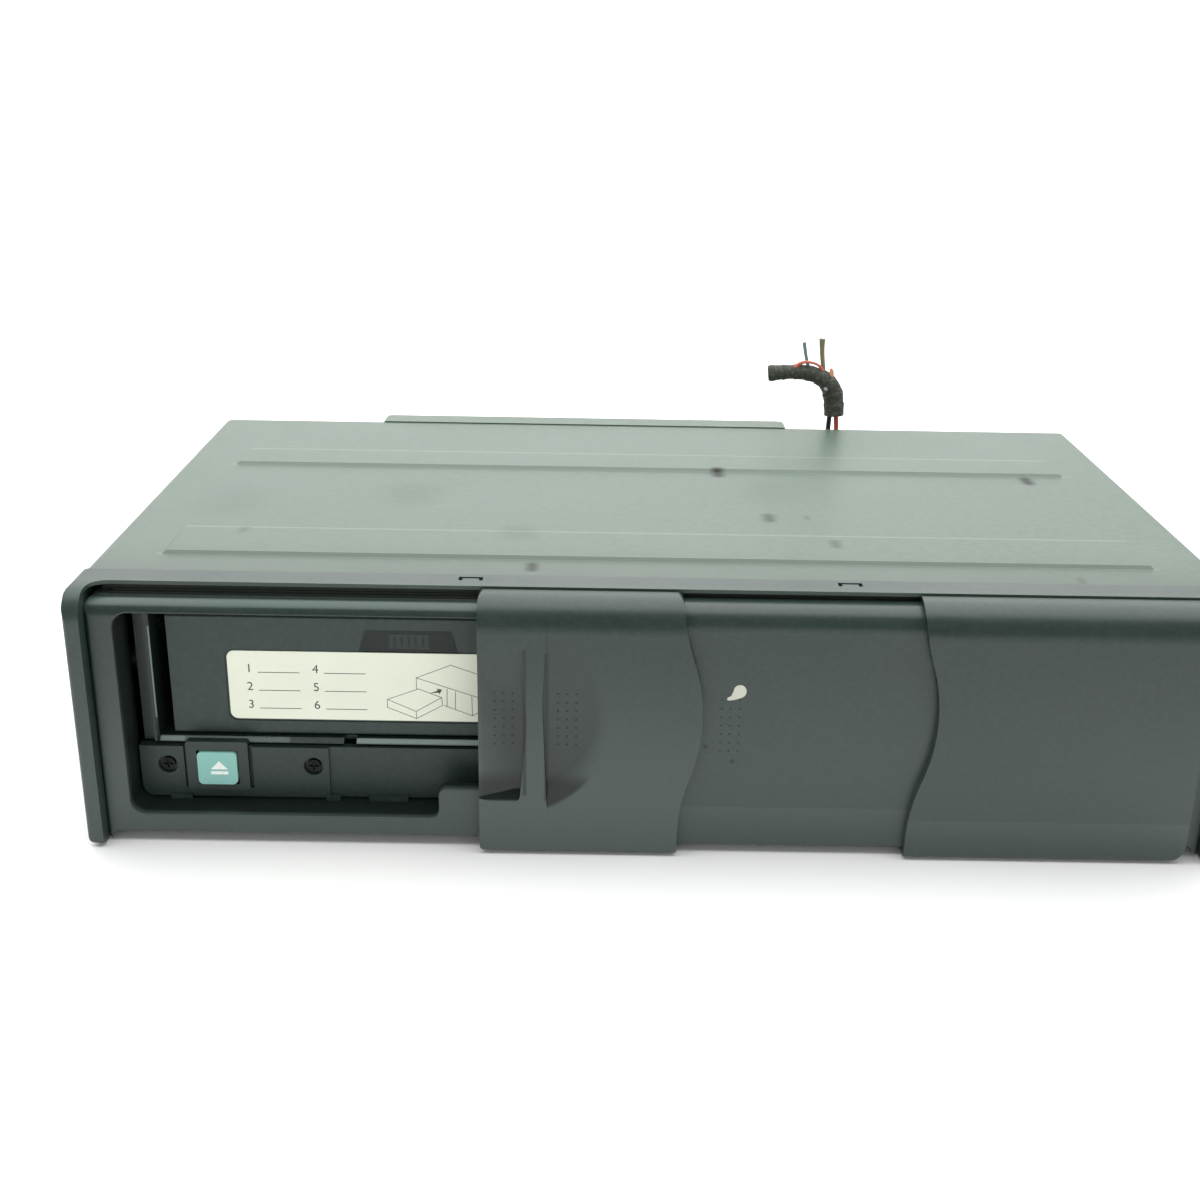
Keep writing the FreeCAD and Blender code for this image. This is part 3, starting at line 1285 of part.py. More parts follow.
def make_clamp_arm():
    pivot = V(disc_x, arm_pivot_y, arm_z + arm_sheet / 2)
    plate = prism("xy", [(disc_x - arm_half, arm_front_y, 4), (disc_x + arm_half, arm_front_y, 4),
                         (disc_x + arm_half, arm_pivot_y + 2, 0.5), (disc_x - arm_half, arm_pivot_y + 2, 0.5)],
                  arm_z, arm_z + arm_sheet)
    pin = cylinder(pin_radius, pivot - V(arm_half + 3, 0, 0), pivot + V(arm_half + 3, 0, 0))
    hole = cylinder(spindle_radius + running, V(disc_x, disc_y, arm_z - 1), V(disc_x, disc_y, arm_z + 3))
    window = prism("xy", [(disc_x - 4, disc_y + 18, 2), (disc_x + 4, disc_y + 18, 2),
                          (disc_x + 4, arm_pivot_y - 10, 2), (disc_x - 4, arm_pivot_y - 10, 2)], arm_z - 1, arm_z + 3)
    return without(union([plate, pin]), [hole, window])


def make_clamp_puck():
    low = disc_plane + disc_thickness + 0.1
    centre = V(disc_x, disc_y, 0)
    plate = cylinder(puck_radius, centre + V(0, 0, low), centre + V(0, 0, arm_z - 0.3))
    hub_recess = cylinder(hub_radius + 0.6, centre + V(0, 0, low), centre + V(0, 0, disc_plane + hub_rise + 0.4))
    stem = cylinder(spindle_radius, centre + V(0, 0, arm_z - 0.5), centre + V(0, 0, arm_z + arm_sheet + 1.1))
    cap = cylinder(3.0, centre + V(0, 0, arm_z + arm_sheet + 0.3), centre + V(0, 0, arm_z + arm_sheet + 1.1))
    return union([plate.cut(hub_recess), stem, cap])


def make_feed_roller():
    z = roller_z()
    drum = cylinder(roller_radius, V(roller_x, roller_front, z), V(roller_x, roller_front + roller_length, z))
    shaft = cylinder(spindle_radius, V(roller_x, roller_front - 4, z), V(roller_x, roller_front + roller_length + 4, z))
    return union([drum, shaft])


# ---------------------------------------------------------------- cut loom at the back
plug_half = socket_width / 2 - 1.5 - plug_gap
plug_low = socket_low + 1.5 + plug_gap
plug_high = socket_low + socket_height - 1.5 - plug_gap
plug_back = rear_plane + plug_out


def beside_plug(across, out, up):
    """A point of the loom: across from the socket's middle, out from the rear plane, up from the plug."""
    return V(socket_x + across, rear_plane + out, plug_high + up)


black_route = [beside_plug(-wire_pitch / 2, loom_out, 0), beside_plug(-1.8, 4.4, 8.7), beside_plug(-1.2, 3.7, 18.2),
               beside_plug(-1.7, 4.1, 26.7), beside_plug(-1.3, 3.9, 33.1)]
red_route = [beside_plug(wire_pitch / 2, loom_out, 0), beside_plug(1.9, 3.5, 9.2), beside_plug(1.3, 4.4, 18.7),
             beside_plug(1.6, 3.8, 26.7), beside_plug(0.9, 4.1, 33.1)]
bundle_route = [beside_plug(0.2, 4.0, 32.7), beside_plug(-0.1, 4.2, 38.2), beside_plug(-1.7, 3.9, 43.3),
                beside_plug(-5.7, 3.7, 46.7), beside_plug(-11.5, 4.1, 48.0), beside_plug(-17.8, 3.9, 47.9),
                beside_plug(-24.0, 4.3, 47.2)]


def make_wire_plug():
    insert = box(socket_x - plug_half, socket_x + plug_half, rear_plane - 2.5, plug_back - 2, plug_low, plug_high)
    grip = box(socket_x - plug_half - 1, socket_x + plug_half + 1, rear_plane + 1.2, plug_back,
               plug_low + 0.6, plug_high)
    ridges = []
    for i in range(5):
        z = plug_low + 2.2 + 2.2 * i
        ridges.append(box(socket_x - plug_half, socket_x + plug_half, plug_back - 0.1, plug_back + 0.5, z, z + 1))
    return union([insert, grip] + ridges)


def make_wire_ends():
    """Short ends of the single wires that stick out of the tape."""
    ends = [((-4.3, 3.5, 46.1), (-5.9, 3.5, 55.8), (-5.8, 3.6, 59.9), 0.85),
            ((-9.7, 3.5, 48.7), (-11.3, 3.5, 53.6), (-12.0, 3.7, 58.5), 0.6),
            ((-2.5, 3.1, 45.7), (-1.3, 2.9, 48.1), (-2.3, 3.1, 49.5), 0.7)]
    tubes = []
    for start, middle, end, radius in ends:
        tubes.append(routed_tube([beside_plug(*start), beside_plug(*middle), beside_plug(*end)], radius))
    loop = ((-14.8, 3.1, 49.3), (-13.5, 2.7, 51.6), (-9.3, 2.5, 51.9), (-5.7, 2.6, 50.4), (-4.4, 2.8, 47.7))
    tubes.append(routed_tube([beside_plug(*place) for place in loop], 0.7))
    return tubes


# ---------------------------------------------------------------- writing
def write(name, shapes):
    if not isinstance(shapes, list):
        shapes = [shapes]
    solids = []
    for shape in shapes:
        solids.extend(shape.Solids)
    placed = [solid.translated(origin_shift) for solid in solids]
    whole = placed[0] if len(placed) == 1 else Part.Compound(placed)
    whole.exportStep("parts/" + name + ".step")
    volume = sum(solid.Volume for solid in placed)
    good = all(solid.isValid() for solid in placed)
    print(name, len(placed), "solids", round(volume / 1000, 3), "cm3", "" if good else "INVALID")


os.makedirs("parts", exist_ok=True)
write("front_surround", make_front_surround())
write("front_frame", make_front_frame())
write("door_panel", make_door_panel())
write("inner_shutter", make_shutter())
write("fixed_panel", make_fixed_panel())
write("trim_panel", make_trim_panel())
write("trim_screws", make_trim_screws())
write("eject_button", make_eject_button())
write("button_spring", make_button_spring())
write("front_board", make_front_board())
write("eject_switch", make_eject_switch())
write("magazine_case", make_magazine_case())
write("magazine_lid", make_magazine_lid())
write("magazine_label", make_magazine_label())
for number in range(tray_count):
    write("disc_tray_%d" % (number + 1), make_tray(number))
write("magazine_cradle", make_magazine_cradle())
write("cradle_roof", make_cradle_roof())
write("ejector_plunger", make_ejector_plunger())
write("ejector_spring", make_ejector_spring())
write("top_cover", make_top_cover())
write("bottom_case", make_bottom_case())
write("mount_nuts", make_mount_nuts())
write("rear_panel", make_rear_panel())
write("rear_housing", make_rear_housing())
write("case_screws", make_case_screws())
write("rear_socket", make_rear_socket())
write("main_board", make_main_board())
write("board_parts", make_board_parts())
write("mechanism_chassis", make_mechanism_chassis())
write("chassis_dampers", make_chassis_dampers())
for number, place in enumerate(lift_points):
    write("lift_screw_%d" % (number + 1), make_lift_screw(place))
write("lift_belt", make_lift_belt())
write("lift_motor", make_lift_motor())
write("motor_pulley", make_motor_pulley())
write("deck_plate", make_deck_plate())
write("lift_nuts", make_lift_nuts())
write("spindle_motor", make_spindle_motor())
write("turntable", make_turntable())
write("pickup_sled", make_pickup_sled())
write("pickup_lens", make_pickup_lens())
write("sled_rods", make_sled_rods())
write("sled_screw", make_sled_screw())
write("sled_motor", make_sled_motor())
write("clamp_arm", make_clamp_arm())
write("clamp_puck", make_clamp_puck())
write("feed_roller", make_feed_roller())
write("wire_plug", make_wire_plug())
write("black_wire", routed_tube(black_route, wire_radius))
write("red_wire", routed_tube(red_route, wire_radius))
write("taped_bundle", routed_tube(bundle_route, bundle_radius))
write("wire_ends", make_wire_ends())
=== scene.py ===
"""Finishes, small printed pieces, the cut loom and a studio stage for a car disc changer."""

import json
import math

import bpy
from mathutils import Matrix, Vector

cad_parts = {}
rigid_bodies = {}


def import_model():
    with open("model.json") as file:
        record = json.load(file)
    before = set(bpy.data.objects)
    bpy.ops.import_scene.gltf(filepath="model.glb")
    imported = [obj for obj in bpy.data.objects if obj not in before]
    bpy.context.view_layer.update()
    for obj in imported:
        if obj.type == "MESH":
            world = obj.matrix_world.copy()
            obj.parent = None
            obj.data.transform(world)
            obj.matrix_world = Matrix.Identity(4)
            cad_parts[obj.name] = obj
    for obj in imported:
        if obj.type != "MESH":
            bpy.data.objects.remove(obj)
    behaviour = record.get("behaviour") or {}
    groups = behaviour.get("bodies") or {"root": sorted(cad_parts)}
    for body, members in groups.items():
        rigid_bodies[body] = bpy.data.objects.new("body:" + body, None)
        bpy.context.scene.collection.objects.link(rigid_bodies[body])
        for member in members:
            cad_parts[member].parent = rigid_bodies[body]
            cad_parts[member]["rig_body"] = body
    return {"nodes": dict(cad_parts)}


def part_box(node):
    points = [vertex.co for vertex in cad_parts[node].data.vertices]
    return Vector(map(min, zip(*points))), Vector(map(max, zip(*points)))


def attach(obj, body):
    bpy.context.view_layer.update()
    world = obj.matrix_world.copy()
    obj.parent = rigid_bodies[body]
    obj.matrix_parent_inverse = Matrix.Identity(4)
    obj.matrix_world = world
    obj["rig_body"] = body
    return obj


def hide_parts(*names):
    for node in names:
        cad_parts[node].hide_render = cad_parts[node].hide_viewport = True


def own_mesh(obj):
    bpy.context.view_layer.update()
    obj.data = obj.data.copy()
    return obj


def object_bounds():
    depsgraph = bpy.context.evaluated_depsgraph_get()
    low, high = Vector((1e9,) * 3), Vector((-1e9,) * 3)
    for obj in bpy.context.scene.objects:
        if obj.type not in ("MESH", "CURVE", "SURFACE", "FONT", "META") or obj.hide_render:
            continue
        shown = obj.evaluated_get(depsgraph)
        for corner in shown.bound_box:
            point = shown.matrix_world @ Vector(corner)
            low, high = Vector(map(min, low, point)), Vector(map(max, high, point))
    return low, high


bl_info = {
    "name": "Car Disc Changer",
    "version": (1, 0, 0),
    "blender": (4, 5, 0),
    "location": "3D View > Sidebar > Changer",
    "description": "Finishes a car disc changer and sets it on a studio stage",
    "category": "Object",
}

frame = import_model()
nodes = frame["nodes"]
built_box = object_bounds()
MM = 0.001
FRONT = built_box[0][1]


def place(x, y, z):
    """A point in mm: right of the middle, behind the front plane and above the resting plane."""
    return Vector((x * MM, FRONT + y * MM, z * MM))


def shade(colour, factor, lift=0.0):
    """A colour darkened or lightened by a factor, and lifted by an even amount."""
    return [c * factor + lift for c in colour]


# dirt that lies on several pieces, and the painted light low on the front pieces
DUST = (0.42, 0.44, 0.4)
LOW_PAINTED_LIGHT = (0.076, 0.096, 0.088)
LOW_PAINTED_LIGHT_HEIGHTS = (62.0, 10.0)
SCRATCH = (0.2, 0.24, 0.21)

# depths of surface relief, in metres
PLASTIC_GRAIN = 0.00003
ROLLED_GRAIN = 0.000006
RESIN_GRAIN = 0.00001
RUBBER_GRAIN = 0.00002
TRACK_DEPTH = 0.00003


# ---------------- shader building blocks
def new_node(tree, kind, settings):
    """A new node of a tree, with its settings."""
    made = tree.nodes.new(kind)
    for key, value in settings.items():
        setattr(made, key, value)
    return made


def feed(tree, socket, value):
    """Links a socket to another one, or gives it a value."""
    if isinstance(value, bpy.types.NodeSocket):
        tree.links.new(value, socket)
    else:
        socket.default_value = value


class Finish:
    """One material, with a Principled surface and short ways to feed it."""

    def __init__(self, name, colour, roughness, metallic=0.0, specular=0.5, coat=0.0,
                 coat_roughness=0.3):
        self.material = bpy.data.materials.new(name)
        self.material.use_nodes = True
        self.material.diffuse_color = (*colour, 1.0)
        self.tree = self.material.node_tree
        self.surface = self.tree.nodes["Principled BSDF"]
        self.surface.inputs["Base Color"].default_value = (*colour, 1.0)
        self.surface.inputs["Roughness"].default_value = roughness
        self.surface.inputs["Metallic"].default_value = metallic
        self.surface.inputs["Specular IOR Level"].default_value = specular
        self.surface.inputs["Coat Weight"].default_value = coat
        self.surface.inputs["Coat Roughness"].default_value = coat_roughness
        self.colour = (*colour, 1.0)
        self.roughness = roughness
        self.bump = None
        self.position = self.add("ShaderNodeTexCoord").outputs["Object"]

    def add(self, kind, **settings):
        return new_node(self.tree, kind, settings)

    def feed(self, socket, value):
        feed(self.tree, socket, value)

    def calculate(self, operation, first, second, clamp=False):
        made = self.add("ShaderNodeMath", operation=operation, use_clamp=clamp)
        self.feed(made.inputs[0], first)
        self.feed(made.inputs[1], second)
        return made.outputs[0]

    def stretch(self, scale, turn=(0.0, 0.0, 0.0)):
        """The position, scaled and turned, to draw a pattern out along one direction."""
        made = self.add("ShaderNodeMapping")
        self.feed(made.inputs["Vector"], self.position)
        made.inputs["Scale"].default_value = scale
        made.inputs["Rotation"].default_value = turn
        return made.outputs["Vector"]

    def noise(self, scale, detail=3.0, rough=0.5, at=None, distortion=0.0):
        """A cloudy pattern with about scale patches to a metre."""
        made = self.add("ShaderNodeTexNoise")
        self.feed(made.inputs["Vector"], at or self.position)
        made.inputs["Scale"].default_value = scale
        made.inputs["Detail"].default_value = detail
        made.inputs["Roughness"].default_value = rough
        made.inputs["Distortion"].default_value = distortion
        return made.outputs["Fac"]

    def cells(self, scale, at=None):
        """The distance to the nearest of scale points to a metre, and a random colour for each."""
        made = self.add("ShaderNodeTexVoronoi")
        self.feed(made.inputs["Vector"], at or self.position)
        made.inputs["Scale"].default_value = scale
        return made.outputs["Distance"], made.outputs["Color"]

    def between(self, value, low, high):
        """Rises smoothly from 0 to 1 from low to high, or falls if low is above high."""
        made = self.add("ShaderNodeMapRange", interpolation_type="SMOOTHSTEP")
        self.feed(made.inputs["Value"], value)
        made.inputs["From Min"].default_value = low
        made.inputs["From Max"].default_value = high
        return made.outputs["Result"]

    def both(self, first, second):
        """1 where two masks are 1."""
        return self.calculate("MULTIPLY", first, second)

    def spot(self, centre, radius, softness):
        """A round patch about a point, 1 in the middle."""
        made = self.add("ShaderNodeVectorMath", operation="DISTANCE")
        self.feed(made.inputs[0], self.position)
        made.inputs[1].default_value = centre
        return self.between(made.outputs["Value"], radius + softness, radius)

    def inside(self, low, high, softness=0.3):
        """A box between two corners in mm, 1 inside and fading over the softness outside."""
        low, high = place(*low), place(*high)
        value = self.position
        for operation, other in (
            ("SUBTRACT", (low + high) / 2),
            ("ABSOLUTE", None),
            ("SUBTRACT", (high - low) / 2),
            ("MAXIMUM", Vector((0.0, 0.0, 0.0))),
        ):
            made = self.add("ShaderNodeVectorMath", operation=operation)
            self.feed(made.inputs[0], value)
            if other is not None:
                made.inputs[1].default_value = other
            value = made.outputs["Vector"]
        away = self.add("ShaderNodeVectorMath", operation="LENGTH")
        self.feed(away.inputs[0], value)
        return self.between(away.outputs["Value"], softness * MM, 0.0)

    def behind(self, start, end):
        """Rises from 0 to 1 from one distance behind the front plane to another, in mm."""
        made = self.add("ShaderNodeSeparateXYZ")
        self.feed(made.inputs[0], self.position)
        return self.between(made.outputs["Y"], FRONT + start * MM, FRONT + end * MM)

    def above(self, start, end):
        """Rises from 0 to 1 from one height to another, in mm."""
        made = self.add("ShaderNodeSeparateXYZ")
        self.feed(made.inputs[0], self.position)
        return self.between(made.outputs["Z"], start * MM, end * MM)

    def tint(self, mask, colour, strength=1.0):
        """Lays a colour over what is there, where the mask is 1."""
        made = self.add("ShaderNodeMix", data_type="RGBA")
        self.feed(made.inputs["Factor"], self.calculate("MULTIPLY", mask, strength))
        self.feed(made.inputs["A"], self.colour)
        self.feed(made.inputs["B"], (*colour, 1.0))
        self.colour = made.outputs["Result"]
        self.feed(self.surface.inputs["Base Color"], self.colour)

    def roughen(self, mask, amount):
        """Adds to the roughness, where the mask is 1."""
        raised = self.calculate("MULTIPLY", mask, amount)
        self.roughness = self.calculate("ADD", self.roughness, raised, clamp=True)
        self.feed(self.surface.inputs["Roughness"], self.roughness)

    def relief(self, height, depth):
        """Adds surface relief of a depth in metres."""
        made = self.add("ShaderNodeBump")
        made.inputs["Strength"].default_value = 1.0
        made.inputs["Distance"].default_value = depth
        self.feed(made.inputs["Height"], height)
        if self.bump is not None:
            self.feed(made.inputs["Normal"], self.bump)
        self.bump = made.outputs["Normal"]
        self.feed(self.surface.inputs["Normal"], self.bump)

    def dust(self, spacing, size, share, colour, strength=0.8):
        """Small specks about spacing apart, on a share of the surface."""
        distance, random_colour = self.cells(1.0 / spacing)
        chosen = self.add("ShaderNodeSeparateColor")
        self.feed(chosen.inputs[0], random_colour)
        near = self.between(distance, size / spacing * 1.3, size / spacing * 0.6)
        kept = self.calculate("LESS_THAN", chosen.outputs[0], share)
        self.tint(self.both(near, kept), colour, strength)

    def hairlines(self, direction, threshold=0.66):
        """Fine straight scratches along one direction, in patches; fewer at a higher threshold."""
        along = self.stretch((40.0, 1500.0, 40.0), turn=(0.0, 0.0, direction))
        streaks = self.between(self.noise(1.0, 2.0, 0.6, at=along), threshold, threshold + 0.03)
        patches = self.between(self.noise(17.0, 2.0), 0.56, 0.7)
        self.tint(self.both(streaks, patches), SCRATCH, 0.5)


def moulded(name, colour, roughness=0.3, dusty=0.05, painted_low_light=0.0):
    """Fine-grained moulded plastic with faint smudges, dust, and painted light that makes it
    lighter low down.
    """
    finish = Finish(name, colour, roughness)
    cloud = finish.between(finish.noise(28.0, 5.0, 0.55), 0.15, 0.8)
    finish.tint(cloud, shade(colour, 1.22, 0.002), 0.35)
    finish.roughen(cloud, 0.1)
    mottle = finish.between(finish.noise(650.0, 3.0), 0.42, 0.66)
    finish.tint(mottle, shade(colour, 1.35, 0.002), 0.5)
    # painted light: the plastic lighter towards the bottom, standing in for light thrown up from
    # the floor
    if painted_low_light:
        finish.tint(finish.above(*LOW_PAINTED_LIGHT_HEIGHTS), LOW_PAINTED_LIGHT, painted_low_light)
    finish.dust(0.0075, 0.00016, dusty, DUST, 0.55)
    finish.relief(finish.noise(2600.0, 2.0, 0.6), PLASTIC_GRAIN)
    return finish


def sheet_steel(name, colour, roughness=0.38):
    """Zinc-plated sheet with a faint grain and cloudy plating."""
    finish = Finish(name, colour, roughness, metallic=0.9)
    cloud = finish.noise(45.0, 4.0, 0.6)
    finish.tint(finish.between(cloud, 0.4, 0.65), shade(colour, 0.8), 0.5)
    finish.roughen(cloud, 0.15)
    grain = finish.noise(1.0, 2.0, 0.5, at=finish.stretch((40.0, 2500.0, 2500.0)))
    finish.relief(grain, ROLLED_GRAIN)
    return finish


def plain_resin(name, colour, roughness=0.45):
    """Unpainted moulded resin for gears, nuts and plugs."""
    finish = Finish(name, colour, roughness)
    finish.surface.inputs["Subsurface Weight"].default_value = 0.05
    finish.tint(finish.between(finish.noise(60.0), 0.4, 0.7), shade(colour, 0.85), 0.6)
    finish.relief(finish.noise(1500.0), RESIN_GRAIN)
    return finish


def rubber(name, colour):
    """Matt rubber with a dusty film."""
    finish = Finish(name, colour, 0.7)
    finish.tint(finish.between(finish.noise(90.0, 4.0), 0.45, 0.75), (0.12, 0.12, 0.115), 0.3)
    finish.relief(finish.noise(3000.0), RUBBER_GRAIN)
    return finish


def circuit_board(name, colour):
    """Green board with faint copper tracks."""
    finish = Finish(name, colour, 0.35, coat=0.3)
    distance = finish.cells(160.0, at=finish.stretch((1.0, 1.0, 0.01)))[0]
    finish.tint(finish.between(distance, 0.3, 0.36), shade(colour, 0.55), 0.8)
    finish.relief(finish.between(distance, 0.3, 0.36), TRACK_DEPTH)
    return finish


# ---------------- geometry building blocks
def linked(name, data):
    """A new object in the scene."""
    made = bpy.data.objects.new(name, data)
    bpy.context.scene.collection.objects.link(made)
    return made


def settled_mesh(holder):
    """The mesh that an object becomes with what shapes it, in place of the object."""
    bpy.context.view_layer.update()
    evaluated = holder.evaluated_get(bpy.context.evaluated_depsgraph_get())
    mesh = bpy.data.meshes.new_from_object(evaluated)
    bpy.data.objects.remove(holder)
    return mesh


def show(mesh, name, finish, body):
    """Sets a mesh in the scene as a finished piece on one body."""
    piece = linked(name, mesh)
    mesh.materials.clear()
    mesh.materials.append(finish.material)
    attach(piece, body)
    return piece


def flat_outline(name, outlines, start, thickness, finish, body):
    """Solid pieces with straight sides from outlines of (x, z) in mm, parallel to the front."""
    vertices = []
    faces = []
    for outline in outlines:
        base = len(vertices)
        count = len(outline)
        for level in (start, start - thickness):
            vertices.extend(place(x, level, z) for x, z in outline)
        faces.append([base + i for i in reversed(range(count))])
        faces.append([base + count + i for i in range(count)])
        for i in range(count):
            j = (i + 1) % count
            faces.append([base + i, base + j, base + count + j, base + count + i])
    mesh = bpy.data.meshes.new(name)
    mesh.from_pydata(vertices, [], faces)
    mesh.validate()
    mesh.update()
    return show(mesh, name, finish, body)


def stroke(start, end, width):
    """The outline of a straight line of a width between two (x, z) points in mm."""
    along = (Vector(end) - Vector(start)).normalized() * width / 2
    side = Vector((-along.y, along.x))
    start, end = Vector(start) - along, Vector(end) + along
    return [tuple(start - side), tuple(end - side), tuple(end + side), tuple(start + side)]


def lettering(name, words, height, lift, finish, body):
    """Numerals parallel to the front: words is a list of (text, x, y, z) in mm."""
    upright = Matrix.Rotation(math.pi / 2, 4, "X")
    parts = []
    for text, x, y, z in words:
        curve = bpy.data.curves.new(name, "FONT")
        curve.body = text
        curve.size = height * MM / NUMERAL_SHARE
        curve.extrude = lift * MM / 2
        mesh = settled_mesh(linked(name, curve))
        mesh.transform(Matrix.Translation(place(x, y - lift / 2, z)) @ upright)
        parts.append(mesh)
    return show(merged(parts, name), name, finish, body)


def merged(meshes, name):
    """Joins meshes into one."""
    vertices = []
    faces = []
    for mesh in meshes:
        base = len(vertices)
        vertices.extend(vertex.co.copy() for vertex in mesh.vertices)
        faces.extend([base + i for i in polygon.vertices] for polygon in mesh.polygons)
    joined = bpy.data.meshes.new(name)
    joined.from_pydata(vertices, [], faces)
    joined.update()
    return joined


class NodeShape:
    """A Geometry Nodes tree with named inputs, turned into a plain mesh by build."""

    def __init__(self, name):
        self.tree = bpy.data.node_groups.new(name, "GeometryNodeTree")
        sockets = self.tree.interface
        for side in ("INPUT", "OUTPUT"):
            sockets.new_socket("Geometry", in_out=side, socket_type="NodeSocketGeometry")
        self.start = self.tree.nodes.new("NodeGroupInput")
        self.end = self.tree.nodes.new("NodeGroupOutput")
        self.values = {}

    def input(self, name, kind, value):
        self.tree.interface.new_socket(name, in_out="INPUT", socket_type=kind)
        self.set(name, value)
        return self.start.outputs[name]

    def set(self, name, value):
        socket = self.tree.interface.items_tree[name]
        self.values[socket.identifier] = value

    def add(self, kind, inputs=None, **settings):
        made = new_node(self.tree, kind, settings)
        for key, value in (inputs or {}).items():
            feed(self.tree, made.inputs[key], value)
        return made

    def calculate(self, operation, first, second=0.0):
        made = self.add("ShaderNodeMath", {0: first, 1: second}, operation=operation)
        return made.outputs[0]

    def finish_with(self, geometry, finish):
        real = self.add("GeometryNodeRealizeInstances", {"Geometry": geometry})
        coat = self.add("GeometryNodeSetMaterial", {"Geometry": real.outputs[0]})
        coat.inputs["Material"].default_value = finish.material
        self.tree.links.new(coat.outputs[0], self.end.inputs[0])

    def build(self, name, source):
        """Evaluates the tree on the source data and returns the result as a mesh."""
        holder = linked(name, source)
        modifier = holder.modifiers.new(name, "NODES")
        modifier.node_group = self.tree
        for identifier, value in self.values.items():
            modifier[identifier] = value
        return settled_mesh(holder)


# ---------------- what a user would change
def colour_setting(name, description, default):
    return bpy.props.FloatVectorProperty(
        name=name, description=description, subtype="COLOR", size=3, min=0.0, max=1.0,
        default=default)


def length_setting(name, description, default):
    return bpy.props.FloatProperty(
        name=name, description=description, unit="LENGTH", default=default)


def angle_setting(name, description, degrees):
    return bpy.props.FloatProperty(
        name=name, description=description, subtype="ANGLE", default=math.radians(degrees))


class ChangerColours(bpy.types.PropertyGroup):
    front: colour_setting(
        "Front plastic", "Colour of the door, the fixed panel and the surround",
        (0.019, 0.031, 0.027))
    recess: colour_setting(
        "Recess plastic", "Colour of the trim and the magazine slot", (0.02, 0.032, 0.027))
    cover: colour_setting(
        "Cover paint", "Colour of the sheet-metal cover", (0.075, 0.108, 0.083))
    button: colour_setting("Eject button", "Colour of the eject button", (0.25, 0.52, 0.47))
    label: colour_setting("Label", "Colour of the magazine's label", (0.86, 0.88, 0.74))


class ChangerGrip(bpy.types.PropertyGroup):
    columns: bpy.props.IntProperty(
        name="Columns", description="Dots across one grip", default=3, min=1, max=8)
    rows: bpy.props.IntProperty(
        name="Rows", description="Dots up one grip", default=7, min=1, max=20)
    row_step: length_setting("Row step", "Distance between rows", 0.0024)
    column_step: length_setting("Column step", "Distance between columns", 0.0023)
    dot_radius: length_setting("Dot radius", "Radius of one dot", 0.00028)


class ChangerLoom(bpy.types.PropertyGroup):
    wire: length_setting("Wire diameter", "Diameter of one insulated wire", 0.0017)
    bundle: length_setting("Bundle diameter", "Diameter over the cloth tape", 0.0057)
    tape: length_setting("Tape step", "How far each turn of tape moves along", 0.0042)


class ChangerStage(bpy.types.PropertyGroup):
    camera_place: bpy.props.FloatVectorProperty(
        name="Camera place", description="Where the camera stands",
        subtype="XYZ", unit="LENGTH", size=3, default=(-0.01626, -0.43397, 0.2054))
    camera_pitch: angle_setting("Camera pitch", "How far the camera looks down", 21.179)
    camera_yaw: angle_setting("Camera yaw", "How far the camera looks to the right", 0.134)
    camera_roll: angle_setting("Camera roll", "How far the camera leans", -0.978)
    lens: bpy.props.FloatProperty(
        name="Focal length", description="For a 36 mm wide picture",
        default=44.883, min=10.0, max=300.0)


class ChangerSettings(bpy.types.PropertyGroup):
    colours: bpy.props.PointerProperty(type=ChangerColours)
    grip: bpy.props.PointerProperty(type=ChangerGrip)
    loom: bpy.props.PointerProperty(type=ChangerLoom)
    stage: bpy.props.PointerProperty(type=ChangerStage)


# Places below are in mm, as place() takes them: x right of the middle, y behind the front plane
# and z above the resting plane. A box is its low and its high corner.

# the front: the surround's top with its painted sheen, the door's finger grips with painted shade
# low down and along their inner walls, and the nicks in the shutter's face as (x, z)
SURROUND_TOP = ((-145.0, -1.0, 70.6), (145.0, 12.0, 73.0))
GRIP_BOX = ((-45.0, -1.0, 13.0), (-5.0, 3.0, 61.0))
GRIP_BOTTOMS = (
    ((-44.5, -1.0, 15.0), (-35.5, 3.0, 20.5)),
    ((-28.5, -1.0, 13.0), (-19.0, 3.0, 20.0)),
)
GRIP_WALLS = (
    ((-34.4, -1.0, 18.0), (-33.95, 3.0, 58.5)),
    ((-28.8, -1.0, 16.5), (-28.35, 3.0, 57.5)),
)
GRIP_PAINTED_SHADE = (0.002, 0.004, 0.003)
SHUTTER_NICKS = ((12.3, 31.4), (19.4, 27.2))
SHUTTER_FACE = 2.65
# heights of the faint crease low on the panels, and the colour of the painted light below it
PANEL_CREASE = 12.1
SHUTTER_CREASE = 13.9
CREASE_PAINTED_LIGHT = (0.16, 0.18, 0.17)
# the frame: the painted shade inside its mouth, the painted highlight on its lip and a lighter tone
# on its top
MOUTH_BOX = ((-139.0, -1.0, 7.2), (7.0, 20.0, 65.6))
FRAME_LIP = ((-144.0, 3.0, 66.9), (144.0, 7.5, 69.0))
FRAME_TOP = ((-144.0, 9.5, 66.0), (144.0, 16.0, 70.5))

# the dried drop of paint: the middle and half sizes of its round part, and its tail
DROP_MIDDLE = (20.5, 47.1)
DROP_HALF = (1.65, 1.8)
DROP_TAIL = [(18.3, 45.8), (17.4, 45.3), (17.3, 44.7), (18.2, 44.5), (20.0, 45.0)]
DROP_START = 2.7
DROP_THICKNESS = 0.13

# middles of the fields of dots, as (x, z), the plane that they are cast from and their flatness
GRIP_FIELDS = ((-39.5, 39.2), (-23.3, 39.2))
SHUTTER_FIELD = (18.4, 37.4)
DOT_START = -3.0
DOT_FLATNESS = 0.35

